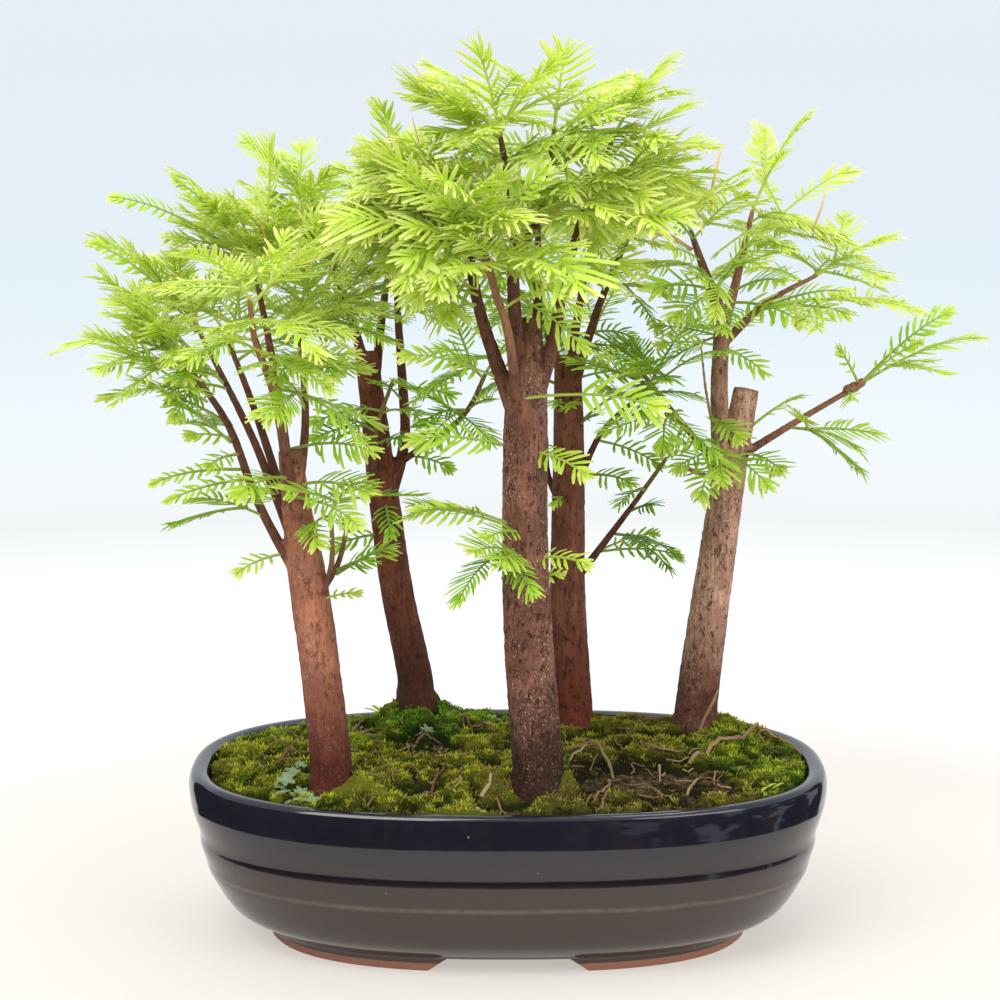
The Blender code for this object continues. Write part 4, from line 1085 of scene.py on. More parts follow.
def moss_material():
    """Moss from brown and dark in its shade to bright at its tips, in several greens."""
    look = Look("cushion_moss", Roughness=0.9, Specular_IOR_Level=0.06)
    chance, bright, kind, share = look.tint()
    fine = look.speckle(1.3, 4.0)
    lit = look.times(bright, look.plus(look.times(share, 0.8), look.times(fine, 0.4)))
    colour = look.mix(lit, look.ramp(kind, MOSS_SHADES), look.ramp(kind, MOSS_TIPS))
    colour = look.mix(look.times(chance, 0.5), colour, look.mix(share, *DRY_MOSS))
    look.set("Base Color", colour)
    look.bump(fine, 0.8, 0.9)
    return look.material


# Litter colours: dark and pale straw, red bark and dark streaks
STRAW_COLOURS = ((0.060, 0.032, 0.016), (0.44, 0.30, 0.17))
RED_LITTER = (0.20, 0.045, 0.022)
LITTER_STREAK = (0.03, 0.02, 0.012)


def debris_material():
    """Dry roots, sticks and leaf scraps: each piece has its own brown, red or straw colour."""
    look = Look("dry_litter", Roughness=0.75, Specular_IOR_Level=0.15)
    _, pale, red, _ = look.tint()
    brown = look.mix(red, look.mix(pale, *STRAW_COLOURS), RED_LITTER)
    streak = look.speckle(1.2, 4.0)
    look.set("Base Color", look.mix(look.times(streak, 0.5), brown, LITTER_STREAK))
    look.bump(streak, 0.3)
    return look.material


def lichen_material():
    """Pale grey-green lichen flakes."""
    look = Look("lichen", Roughness=0.85)
    spots = look.speckle(1.6, 3.0)
    look.set("Base Color", look.mix(spots, (0.08, 0.13, 0.05), (0.30, 0.40, 0.22)))
    look.bump(spots, 0.4)
    return look.material


# Each bark: its body, its second colour, its pale flecks, its pits, its foot, how much of it is
# flecked and pitted, and how stringy it is
BARKS = {
    "left_front": ((0.450, 0.172, 0.092), (0.280, 0.110, 0.070), (0.66, 0.44, 0.33),
                   (0.090, 0.030, 0.020), (0.070, 0.010, 0.004), 0.6, 0.6, 0.6),
    "left_back": ((0.220, 0.068, 0.034), (0.110, 0.034, 0.018), (0.36, 0.20, 0.13),
                  (0.030, 0.012, 0.008), (0.070, 0.024, 0.013), 0.6, 0.6, 0.6),
    "centre_front": ((0.300, 0.124, 0.078), (0.135, 0.054, 0.034), (0.62, 0.48, 0.38),
                     (0.026, 0.012, 0.008), (0.030, 0.012, 0.007), 0.9, 0.8, 0.6),
    "centre_back": ((0.270, 0.102, 0.056), (0.130, 0.044, 0.025), (0.40, 0.24, 0.16),
                    (0.024, 0.010, 0.007), (0.150, 0.036, 0.018), 0.35, 0.8, 0.5),
    "right": ((0.640, 0.370, 0.255), (0.320, 0.160, 0.102), (0.80, 0.62, 0.50),
              (0.060, 0.026, 0.017), (0.110, 0.038, 0.020), 0.8, 0.8, 0.6),
}
TWIG_COLOUR = (0.120, 0.048, 0.030)
YOUNG_WOOD_COLOUR = (0.290, 0.230, 0.060)
PALE_LIMB_COLOUR = (0.460, 0.220, 0.115)


def bark_material(name):
    """Fine mottled bark: two browns, pale flecks, dark pits, faint strings and a tinted foot."""
    body, second, fleck, pit, foot, flecked, pitted, stringy = BARKS[name]
    look = Look("bark_" + name, Roughness=0.75, Specular_IOR_Level=0.15)
    thick, above, special, _ = look.tint()
    patches = look.ramp(look.speckle(8, 6.0, 2.2, 0.68), [(0.40, 0.0), (0.60, 1.0)])
    colour = look.mix(patches, body, second)
    strings = look.ramp(look.speckle(1.1, 5.0, 12.0, 0.6), [(0.40, 0.0), (0.60, 1.0)])
    colour = look.mix(look.times(strings, stringy), colour, second)
    uneven = look.plus(above, look.times(look.speckle(14, 4.0), 0.30))
    low = look.ramp(uneven, [(0.32, 1.0), (0.72, 0.0)])
    colour = look.mix(look.times(low, 0.92), colour, foot)
    grain = look.speckle(0.8, 5.0, 1.5, 0.7, 7.0)
    clusters = look.ramp(look.speckle(11, 4.0, 1.6, 0.6, 3.0), [(0.42, 0.15), (0.60, 1.0)])
    flecked = look.times(look.less(1.0, look.times(low, 0.6)), flecked)
    flecks = look.ramp(grain, [(0.54, 0.0), (0.66, 1.0)])
    flecks = look.times(flecks, look.times(thick, flecked))
    colour = look.mix(look.times(flecks, clusters), colour, fleck)
    pits = look.ramp(look.speckle(1.7, 5.0, 2.2, 0.7, 2.0), [(0.36, 1.0), (0.45, 0.0)])
    colour = look.mix(look.times(pits, pitted), colour, pit)
    thin = look.ramp(thick, [(0.24, 1.0), (0.56, 0.0)])
    colour = look.mix(look.times(thin, 0.75), colour, TWIG_COLOUR)
    young = look.ramp(thick, [(0.12, 0.9), (0.17, 0.0)])
    colour = look.mix(young, colour, YOUNG_WOOD_COLOUR)
    look.set("Base Color", look.mix(look.times(special, 0.8), colour, PALE_LIMB_COLOUR))
    hollows = look.plus(look.times(strings, 0.5), look.times(pits, 0.7), False)
    look.bump(look.less(grain, hollows, False), 0.7, 0.9)
    return look.material


# Leaf colours from deep shade to the sun, for the blade, for its tip and for the stem
LEAF_COLOURS = [(0.0, (0.170, 0.410, 0.018)), (0.45, (0.410, 0.665, 0.030)),
                (1.0, (0.680, 0.830, 0.070))]
TIP_COLOURS = [(0.0, (0.310, 0.540, 0.050)), (0.5, (0.610, 0.760, 0.110)),
               (1.0, (0.840, 0.830, 0.390))]
STEM_COLOURS = ((0.26, 0.38, 0.06), (0.66, 0.74, 0.18))
LIGHT_THROUGH = 0.46


def leaf_material():
    """Soft needles which let light through, yellower at their tips and up in the crown."""
    look = Look("needles", Roughness=0.45, Specular_IOR_Level=0.3)
    chance, shade, stem, share = look.tint()
    varied = look.plus(shade, look.times(look.less(chance, 0.5, False), 0.35, False))
    blade, tip = look.ramp(varied, LEAF_COLOURS), look.ramp(varied, TIP_COLOURS)
    colour = look.mix(look.calculate("POWER", share, 2.0), blade, tip)
    colour = look.mix(stem, colour, look.mix(shade, *STEM_COLOURS))
    look.set("Base Color", colour)
    look.blend(LIGHT_THROUGH, look.node("BsdfTranslucent", {"Color": colour}))
    return look.material


def young_material():
    """Young shoots that aren't green yet: salmon stems and tips."""
    look = Look("young_shoots", Roughness=0.45)
    chance, _, _, share = look.tint()
    colour = look.mix(share, (0.52, 0.22, 0.11), (0.80, 0.56, 0.22))
    look.set("Base Color", look.mix(look.times(chance, 0.4), colour, (0.44, 0.46, 0.08)))
    return look.material


# Fine needles: stations along a blade with the share of its half width and thickness there.
# Long ones get a groove along the top
LONG_STATIONS = [
    (0.0, 0.36, 1.0), (0.1, 0.8, 1.0), (0.4, 1.0, 0.85), (0.76, 1.0, 0.7), (0.94, 0.82, 0.5),
    (1.0, 0.42, 0.3),
]
SHORT_STATIONS = [(0.0, 0.4, 1.0), (0.3, 1.0, 1.0), (0.86, 0.94, 0.7), (1.0, 0.46, 0.3)]
SMALL_STATIONS = [(0.0, 0.44, 1.0), (0.6, 1.0, 0.9), (1.0, 0.5, 0.3)]
LONG_BLADE = 15.5
SMALL_BLADE = 12.0
FULL_BLADE = 18.0
BLADE_HALF_WIDTH = 0.88
NARROWEST = 0.48
BLADE_THICKNESS = 0.28
BLADE_GROOVE = 0.16
PAIR_STEPS = (2.35, 0.21)
LEAN_VARIES = 11
LENGTH_VARIES = (0.72, 1.12)
FORWARD_BEND = (0.04, 0.26)
WIDTH_VARIES = (0.88, 1.12)
RISE_VARIES = (-1.2, 0.8)
SWEEP_VARIES = (-0.05, 0.1)
FACE_VARIES = 0.4
BLADE_ROOT = 0.2
MISSING = 0.03
FINE_STEM_SIDES = 4
FINE_STEM_RADII = (0.7, 0.34)
STEM_INTO_LIMB = 1.4
# Blades past the last pair: how far back from the end, their angle and their share of a length
END_BLADES = [(5.0, -42, 0.55), (4.4, 42, 0.55), (3.4, -26, 0.6), (2.8, 27, 0.6), (1.6, 0, 0.55)]
END_VARIES = 7
END_LIFT = (-0.1, 0.35)
END_BEND = (-1.4, 0.2)
FOLD = (-0.34, 0.12)
YOUNG_GAIN = 0.3


def blade_shapes(rows, stations, grooved):
    """Points and faces of flat blades with blunt ends, with a keel below and maybe a groove.

    A row holds a blade's root, direction, face direction and bend, its length and half width.
    """
    rows = np.array(rows)
    root, along, up, bend = (rows[:, i:i + 3] for i in range(0, 12, 3))
    length, half_width = rows[:, 12:13], rows[:, 13:14]
    across = np.cross(along, up)
    across /= np.linalg.norm(across, axis=1, keepdims=True)
    up = np.cross(across, along)
    sections = []
    for share, width, thickness in stations:
        middle = root + along * length * share + bend * share * share
        side = across * half_width * width
        edge = up * half_width * width * BLADE_GROOVE
        below = middle - up * BLADE_THICKNESS * thickness
        ring = [middle - side + edge, middle, middle + side + edge, below]
        sections.append(np.stack(ring if grooved else ring[:1] + ring[2:], axis=1))
    points = np.concatenate(sections, axis=1).reshape(-1, 3)
    corners = 4 if grooved else 3
    last = corners * (len(stations) - 1)
    pattern = [tuple(reversed(range(corners))), tuple(range(last, last + corners))]
    bands = [(start + k, start + (k + 1) % corners, start + corners + (k + 1) % corners,
              start + corners + k) for start in range(0, last, corners) for k in range(corners)]
    faces = []
    for number in range(len(rows)):
        first = number * (last + corners)
        faces += [tuple(first + corner for corner in face) for face in pattern + bands]
    return points.tolist(), faces


def point_at(path, along):
    index = min(int(along), len(path) - 2)
    return path[index].lerp(path[index + 1], along - index), path[index + 1] - path[index]


def stations_for(needle):
    if needle > LONG_BLADE:
        return LONG_STATIONS
    return SHORT_STATIONS if needle > SMALL_BLADE else SMALL_STATIONS


def pair_blades(stem, breadth, draw):
    """A stem's blades in pairs: each one's root, direction, face, bend, length and youth."""
    path, up, bare, needle = stem
    last = len(path) - 1
    leafy = sum((path[i + 1] - path[i]).length for i in range(bare, last))
    pairs = max(FEWEST_PAIRS, round(leafy / (breadth * max(PAIR_STEPS[0], PAIR_STEPS[1] * needle))))
    fold = draw.uniform(*FOLD)
    sweep = draw.uniform(*FORWARD_BEND)
    for pair in range(pairs):
        share = (pair + 0.5) / pairs
        place, ahead = point_at(path, bare + share * (last - bare))
        ahead.normalize()
        side = ahead.cross(up).normalized()
        top = side.cross(ahead)
        for way in (-1, 1):
            lean = NEEDLE_LEAN[0] + (NEEDLE_LEAN[1] - NEEDLE_LEAN[0]) * share
            lean = math.radians(lean + draw.uniform(-LEAN_VARIES, LEAN_VARIES))
            length = needle * needle_share(share) * draw.uniform(*LENGTH_VARIES)
            along = side * way * math.cos(lean) + ahead * math.sin(lean)
            arch = NEEDLE_ARCH[0] * length - NEEDLE_ARCH[1] * length * length
            rise = arch + fold * length * (0.4 + 0.6 * share) + draw.uniform(*RISE_VARIES)
            bend = top * rise + ahead * (sweep + draw.uniform(*SWEEP_VARIES)) * length
            face = top + along * 0.05 + side * draw.uniform(-FACE_VARIES, FACE_VARIES)
            if draw.random() > MISSING:
                yield place - along * BLADE_ROOT, along, face, bend, length, share ** 3


def end_blades(stem, draw):
    """The blades of the tuft at a stem's end, given like those in pairs."""
    path, up, _, needle = stem
    end, ahead = path[-1], (path[-1] - path[-2]).normalized()
    side = ahead.cross(up).normalized()
    top = side.cross(ahead)
    for back, angle, length_share in END_BLADES:
        turn = math.radians(angle + draw.uniform(-END_VARIES, END_VARIES))
        along = (ahead * math.cos(turn) + side * math.sin(turn)
                 + top * draw.uniform(*END_LIFT)).normalized()
        bend = top * draw.uniform(*END_BEND) - side * math.sin(turn) * 0.8
        yield end - ahead * back, along, top, bend, length_share * needle, 1.0


def dress_stem(shape, stem, shade, draw, breadth=1.0):
    """A stem's fine form: a slim round stem with its pairs of blades and a tuft at its end."""
    path, needle = stem[0], stem[3]
    stations = stations_for(needle)
    grooved = needle > LONG_BLADE
    rows, tints = [], []
    blades = chain(pair_blades(stem, breadth, draw), end_blades(stem, draw))
    for root, along, face, bend, length, young in blades:
        half_width = NARROWEST + (1 - NARROWEST) * min(1.0, length / FULL_BLADE)
        half_width *= breadth * BLADE_HALF_WIDTH * draw.uniform(*WIDTH_VARIES)
        rows.append([*root, *along, *face, *bend, length, half_width])
        look = (draw.random(), shade + YOUNG_GAIN * young)
        tints.extend((*look, 0.0, station[0]) for station in stations
                     for _ in range(4 if grooved else 3))
    points, faces = blade_shapes(rows, stations, grooved)
    shape.add_tinted(points, faces, tints)
    wide, slim = FINE_STEM_RADII
    root = path[0] - (path[1] - path[0]).normalized() * STEM_INTO_LIMB
    line = [Vector((*root, wide))]
    line += [Vector((*place, wide + (slim - wide) * i / (len(path) - 1)))
             for i, place in enumerate(path)]
    shape.add(*tube(line, FINE_STEM_SIDES), (draw.random(), shade, 1.0, 0.0))


def leaf_shade(place, tree):
    """How bright and yellow leaves are: 0 low down and 1 at the crown's top, less on the trees at
    the back.
    """
    low, high = SHADE_HEIGHTS
    back = BACK_SHADE if tree in BACK_TREES else 0.0
    return limited((place.z - low) / (high - low)) - back


def extra_sprays(stem, seed, barks, sprays):
    """Side sprays along a stem, from near its end back towards its root."""
    made = []
    path, _, bare, _ = stem
    for order in range(sprays):
        place = max(1, bare - 1 - order // 2)
        if place + 1 >= len(path):
            break
        for attempt in range(EXTRA_TRIES):
            draw = random.Random(1000 * seed + 50 * order + attempt)
            way = 1 if (order + attempt // 4) % 2 else -1
            spray = plan_spray(stem, way, 0, draw, place, TURNED_FRONT)
            if is_clear(leafy_stem(*spray), barks, SKIPPED_ROOT):
                made.append(spray)
                break
    return made


def limb_places(tree):
    """A search tree of the places on a tree's leafy limbs, and each one's limb and share."""
    places, found = [], []
    for limb, rows in tree["limbs"].items():
        if limb in LEAFLESS_LIMBS:
            continue
        line = [row.to_3d() for row in limb_line(limb, rows)]
        for step in range(PLACES_A_STEP * (len(line) - 1) + 1):
            along = step / PLACES_A_STEP
            places.append(point_at(line, along)[0])
            found.append((limb, min(LAST_SHARE, along / (len(line) - 1))))
    return search_tree(places), found


def outline_reach(x, z):
    """How far out the foliage may reach at a height, left or right of the middle."""
    rows = OUTLINE_LEFT if x < 0 else OUTLINE_RIGHT
    for (low, reach), (high, next_reach) in zip(rows, rows[1:]):
        if low <= z <= high:
            return reach + (next_reach - reach) * (z - low) / (high - low)
    return 0.0


def crown_tips(name, number):
    """Tips of shoots all through a tree's crown, no two too near each other."""
    middle, half_sizes, lowest, count = CROWNS[name]
    draw = random.Random(CROWN_TIP_SEED + number)
    tips = []
    for _ in range(CROWN_TRIES):
        spot = Vector(draw.uniform(-1, 1) for _ in range(3))
        if len(tips) == count or not CROWN_CORE < spot.length < 1:
            continue
        tip = Vector(middle[i] + spot[i] * half_sizes[i] for i in range(3))
        if tip.z < lowest or abs(tip.x) > outline_reach(tip.x, tip.z):
            continue
        in_open = (tip - Vector(OPEN_PLACE[0])).length < OPEN_PLACE[1]
        if not in_open and all((tip - other).length > TIP_ROOM for other in tips):
            tips.append(tip)
    return tips


def crown_shoots(name, tree, number, barks, solids):
    """Shoots from a tree's limbs to all through its crown."""
    places, found = limb_places(tree)
    shoots = []
    for order, tip in enumerate(crown_tips(name, number)):
        _, index, far = places.find(tip - Vector((0, 0, 0.35 * CROWN_REACH[0])))
        if not CROWN_REACH[0] < far < CROWN_REACH[1]:
            continue
        limb, share = found[index]
        line = limb_line(limb, tree["limbs"][limb])
        start, heading = shoot_start(line, barks[name, limb], share, tip)
        if (tip - start).normalized().z > STEEPEST:
            continue
        for attempt in range(CROWN_SWAYS):
            draw = random.Random(1000 * (CROWN_SHOOT_SEED + 100 * number + order) + attempt)
            sway = Vector(draw.uniform(-1, 1) for _ in range(3)) * 2 * attempt
            needle = tree["needle"] * CROWN_NEEDLES[name]
            stem = plan_stem(start, heading, tip + sway, needle, draw, TURNED_FRONT)
            if is_clear(leafy_stem(*stem), solids):
                shoots.append(stem)
                break
    return shoots


def limb_sprays(name, tree, number, barks, solids):
    """Short sprays straight from the bark of the limbs and of the trunk's upper part."""
    draw = random.Random(LIMB_SPRAY_SEED + number)
    sprays = []
    for _ in range(LIMB_SPRAYS[name]):
        limb = draw.choice([key for key in tree["limbs"] if key not in BARE_LIMBS])
        share = draw.uniform(*(TRUNK_SHARES if limb == "trunk" else LIMB_SHARES))
        line = limb_line(limb, tree["limbs"][limb])
        place, _ = point_at([row.to_3d() for row in line], share * (len(line) - 1))
        turn = draw.uniform(*LIMB_SPRAY_TURN)
        way = Vector((math.cos(turn), math.sin(turn), draw.uniform(*LIMB_SPRAY_RISE)))
        tip = place + way * draw.uniform(*LIMB_SPRAY_REACH)
        start, heading = shoot_start(line, barks[name, limb], share, tip)
        needle = tree["needle"] * draw.uniform(*LIMB_SPRAY_NEEDLE)
        stem = plan_stem(start, heading, tip, needle, draw, TURNED_FRONT)
        if is_clear(leafy_stem(*stem), solids, SKIPPED_ROOT):
            sprays.append(stem)
    return sprays


def seen_at(pixel, back):
    """The place of a pixel of the picture's frame, at a distance back from the pot's middle."""
    focal = FRAME_SIZE * CAMERA_LENS / SENSOR_WIDTH
    across, down = ((pixel[i] - FRAME_SIZE / 2) / focal for i in range(2))
    tilt = math.radians(CAMERA_DOWN)
    camera_x, camera_y, camera_z = (part / MM for part in CAMERA_PLACE)
    far = (back - camera_y) / (math.cos(tilt) - down * math.sin(tilt))
    height = camera_z - far * (math.sin(tilt) + down * math.cos(tilt))
    return Vector((camera_x + across * far, back, height))


def seen_sprays(name, tree, number):
    """The sprays at the front which the picture shows, each from the nearest limb."""
    lines = [smooth_line(rows, FINE_STEPS) for rows in tree["limbs"].values()]
    rows = [row.to_3d() for line in lines for row in line]
    sprays = []
    for order, (root, end, root_back, tip_back, needle) in enumerate(SEEN_SPRAYS[name]):
        draw = random.Random(SEEN_SEED + 100 * number + order)
        place, tip = seen_at(root, root_back), seen_at(end, tip_back)
        start = min(rows, key=lambda row: (row - place).length)
        path, _, bare, needle = plan_stem(start, (tip - start).normalized(), tip, needle, draw)
        sprays.append((path, Vector(SEEN_FACE), bare, needle))
    return sprays


def dress_stems(shape, stems, tree, draw):
    for stem in stems:
        shade = leaf_shade(stem[0][-1], tree) + draw.uniform(-SHADE_VARIES, SHADE_VARIES)
        dress_stem(shape, stem, shade, draw)


def dress_shoots(plan, solids, material):
    """The fine piece of each leafy shoot that has a node."""
    for number, (name, stems) in enumerate(plan.items()):
        tree = next(key for key in TREES if name.startswith(f"shoot_{key}_"))
        limb = SHOOTS[tree][int(name[-2:]) - 1][0]
        sprays = SHOOT_SPRAYS
        if limb == "trunk":
            sprays = 0
            stems = [(*stem[:3], stem[3] * TRUNK_SHOOT_SHARE) for stem in stems]
        stems = stems + extra_sprays(stems[0], EXTRA_SEED + number, solids, sprays)
        shape = Shape()
        dress_stems(shape, stems, tree, random.Random(number))
        place_piece(make_object(name + "_leaves", shape, material, LEAF_SHARP), "leaf", name)


def dress_crowns(barks, solids, material):
    """A piece for each tree's leaves between its shoots, and for its sprays at the front."""
    for number, (name, tree) in enumerate(TREES.items()):
        draw = random.Random(CROWN_SEED + number)
        stems = limb_sprays(name, tree, number, barks, solids)
        for stem in crown_shoots(name, tree, number, barks, solids):
            stems += [stem] + extra_sprays(stem, draw.randrange(10000), solids, CROWN_SPRAYS)
        shape = Shape()
        dress_stems(shape, stems, name, draw)
        usual = SEEN_BACK_SHADE if name in BACK_TREES else SEEN_SHADE
        for stem in seen_sprays(name, tree, number):
            shade = usual + draw.uniform(-SEEN_SHADE_VARIES, SEEN_SHADE_VARIES)
            dress_stem(shape, stem, shade, draw, SEEN_BREADTH)
        place_piece(make_object("crown_" + name, shape, material, LEAF_SHARP), "leaf")


# Young stems that aren't green yet: the pixels of a stem's root, middle and tip in the picture's
# frame, how far back it stands and its radius
YOUNG_STEMS = [
    ((709, 214), (714, 178), (722, 145), 40, 0.75), ((688, 168), (694, 196), (702, 236), 42, 0.7),
    ((598, 150), (592, 128), (588, 104), -60, 0.6), ((440, 190), (424, 160), (412, 118), -60, 0.6),
    ((812, 232), (822, 206), (826, 190), 30, 0.5), ((268, 250), (262, 226), (252, 206), -50, 0.5),
    ((692, 250), (664, 234), (648, 244), 32, 0.9),
]
YOUNG_TIP = 0.4


def dress_young_stems(material):
    shape = Shape()
    for *pixels, back, radius in YOUNG_STEMS:
        rows = [Vector((*seen_at(pixel, back), radius)) for pixel in pixels]
        rows[-1].w = radius * YOUNG_TIP
        line = smooth_line(rows, FINE_STEPS)
        points, faces = tube(line, LIMB_SIDES)
        last = len(line) - 1
        tints = [(0.3, 0.5, 0.0, i / last) for i in range(last + 1) for _ in range(LIMB_SIDES)]
        shape.add_tinted(points, faces, tints)
    place_piece(make_object("young_stems", shape, material), "leaf")


# Single leaves on the moss: their place, heading in degrees, length, half width and rise
GROUND_LEAVES = [
    ((102, -54), 55, 17, 0.9, 0.35), ((108, -46), 40, 9, 0.8, 0.5), ((-58, 70), 200, 9, 1.5, 0.7),
    ((-57, 76), 150, 8, 1.4, 0.9), ((-54, 73), 20, 7, 1.3, 0.8), ((-42, 39), 170, 6, 1.6, 0.7),
    ((-38, 36), 300, 6, 1.5, 0.8), ((-40, 41), 60, 5, 1.3, 0.9), ((-84, -48), 200, 6, 1.6, 0.5),
]
GROUND_LEAF_SINK = 1.0
GROUND_LEAF_BEND = 0.25
GROUND_LEAF_SHADE = 0.75
# The thin root which hangs from the right trunk: pixels in the picture's frame and how far back
AIR_ROOT = [((718, 690), 37), ((712, 704), 33), ((703, 721), 28), ((696, 742), 22),
            ((691, 757), 8)]
AIR_ROOT_RADIUS = 0.55
AIR_ROOT_STEPS = 4
LITTER_WAVE = 0.1


def dress_ground_leaves(material):
    rows, tints = [], []
    draw = random.Random(GROUND_LEAF_SEED)
    for (x, y), degrees, length, half_width, rise in GROUND_LEAVES:
        turn = math.radians(degrees)
        along = (flat_way(turn) + Vector((0, 0, rise))).normalized()
        root = (x, y, surface_height(x, y) - GROUND_LEAF_SINK)
        up = along.cross(Vector((-math.sin(turn), math.cos(turn), 0)))
        bend = (0, 0, -GROUND_LEAF_BEND * length)
        rows.append([*root, *along, *up, *bend, length, half_width])
        tints.extend((draw.random(), GROUND_LEAF_SHADE, 0.0, station[0])
                     for station in LONG_STATIONS for _ in range(4))
    shape = Shape()
    points, faces = blade_shapes(rows, LONG_STATIONS, True)
    shape.add_tinted(points, faces, tints)
    place_piece(make_object("ground_leaves", shape, material), "leaf")


def dress_air_root(material):
    shape = Shape()
    rows = [Vector((*seen_at(pixel, back), AIR_ROOT_RADIUS)) for pixel, back in AIR_ROOT]
    line = smooth_line(rows, AIR_ROOT_STEPS)
    shape.add(*tube(line, LIMB_SIDES, LITTER_WAVE), (0.4, 0.75, 0.2, 0.0))
    place_piece(make_object("air_root", shape, material, GROUND_SHARP), "bark")


# Fine bark: the remesh's voxel, the smoothing of joints and the share of faces kept
BARK_VOXEL = 0.62
BARK_SMOOTHING = 4
FOOT_DEEP, FOOT_SPREAD = 8, 1.04
BARK_FACE_SHARE = 0.26
FINE_TRUNK_SIDES = 36
FINE_LIMB_SIDES = 14
FINE_STEPS = 5
SLIM_LIMBS = 0.87
# Each bark: depth of its furrows, their size across and along, and how flaky it is
BARK_RELIEF = {
    "left_front": (0.36, 3.4, 13.0, 0.2), "left_back": (0.36, 3.2, 11.0, 0.18),
    "centre_front": (0.50, 3.0, 9.0, 0.32), "centre_back": (0.38, 3.0, 11.0, 0.2),
    "right": (0.44, 3.0, 11.0, 0.26),
}


# How pale the bark is on some limbs and on a tree's other limbs, and from where along a limb.
# Knobs where limbs were cut: the tree, place and radius
PALE_LIMBS = {("left_front", "front"): 0.7, ("centre_front", "front"): 0.85,
              ("right", "cut_twig"): 0.9, ("right", "leader"): 0.1}
PALE_TREES = {"right": 0.5}
PALE_FROM, PALE_GROWS = 0.12, 0.2
KNOBS = [("centre_front", (-10, -87, 296), 3.0), ("centre_front", (-12, -85, 293), 2.2),
         ("centre_front", (-7, -88, 298), 2.0), ("right", (153, 34, 230), 2.1),
         ("right", (150, 35, 228), 2.5), ("right", (147, 35, 227), 2.1),
         ("right", (93, 39, 257), 4.4), ("left_front", (-86, -57, 190), 5.6)]
KNOB_PALENESS = 0.5
LARGEST_PALE_KNOB = 4
NEAR_ROWS = 16
# The radii from which bark is full in relief and in looks, and how high its foot's tint goes
FULL_RELIEF, FULL_THICK = 8.0, 9.0
FOOT_TINT = 100.0
KNOB_SHARES = [(-0.94, 0.34), (-0.5, 0.86), (0.0, 1.0), (0.5, 0.86), (0.94, 0.34)]


def fine_trunk_line(tree):
    """The trunk's smooth line from inside the soil, through its flared foot, to its top."""
    x, y = tree["foot"]
    radius = tree["foot_radius"]
    ground = soil_height(x, y) + MOSS_THICKNESS
    rows = [Vector(row) for row in tree["limbs"]["trunk"]]
    low = Vector((x, y, ground, radius))
    flare = low.lerp(rows[0], FLARE_NARROWING)
    flare.z = ground + FLARE_HEIGHT * (rows[0].z - ground)
    foot = Vector((x, y, ground - FOOT_DEEP, radius * FOOT_SPREAD))
    line = smooth_line([foot, low, flare] + rows, FINE_STEPS)
    return [Vector((x, y, SOIL_MIDDLE - STUMP_DEPTH, radius))] + line


def limb_looks(name, tree):
    """A search tree of the points along all the limbs, with each one's radius and paleness."""
    usual = PALE_TREES.get(name, 0.0)
    places, looks = [], []
    for limb, rows in tree["limbs"].items():
        pale = PALE_LIMBS.get((name, limb), 0.0 if limb == "trunk" else usual)
        line = smooth_line(rows, FINE_STEPS)
        for i, row in enumerate(line):
            places.append(row.to_3d())
            looks.append((row[3], pale * limited((i / len(line) - PALE_FROM) / PALE_GROWS)))
    for owner, place, radius in KNOBS:
        if owner == name and radius < LARGEST_PALE_KNOB:
            places.append(Vector(place))
            looks.append((radius, KNOB_PALENESS))
    return search_tree(places), looks


def look_at(point, found, looks):
    """The looks of the limb whose bark is nearest to a point."""
    near = found.find_n(point, NEAR_ROWS)
    return looks[min(near, key=lambda hit: hit[2] - looks[hit[1]][0])[1]]


def relief(point, look, seed):
    """How far the bark stands out at a point: long furrows with flakes between them."""
    depth, across, along, flaky = look
    stretched = Vector((point.x / across, point.y / across, point.z / along + seed))
    furrow = 1 - abs(noise.fractal(stretched, 1.0, 2.0, 3))
    flakes = noise.noise(Vector((point.x, point.y, point.z * 0.7 + 50 * seed)) * 0.9)
    return depth * (0.5 - furrow ** 4) + flaky * max(0.0, flakes)


def tree_shape(name, tree, number):
    """A trunk, its slimmed limbs and its knobs, as tubes which still cross each other."""
    shape = Shape()
    shape.add(*tube(fine_trunk_line(tree), FINE_TRUNK_SIDES, TRUNK_WAVE, number))
    for limb, rows in tree["limbs"].items():
        if limb == "trunk":
            continue
        line = smooth_line(rows, FINE_STEPS)
        for row in line:
            row.w *= SLIM_LIMBS
        shape.add(*tube(line, FINE_LIMB_SIDES, LIMB_WAVE, number))
    for owner, place, radius in KNOBS:
        if owner == name:
            line = [Vector((*place, 0)) + Vector((0, 0, radius * share, radius * width))
                    for share, width in KNOB_SHARES]
            shape.add(*tube(line, FINE_LIMB_SIDES))
    return shape


def join_tubes(bark):
    remesh = bark.modifiers.new("one_body", "REMESH")
    remesh.mode = "VOXEL"
    remesh.voxel_size = BARK_VOXEL * MM
    smooth = bark.modifiers.new("joints", "SMOOTH")
    smooth.factor = 0.5
    smooth.iterations = BARK_SMOOTHING
    apply_modifiers(bark)


def from_middle(vertex):
    """A vertex's place in millimetres from the pot's middle."""
    return (vertex.co - Vector(PLACE)) / MM


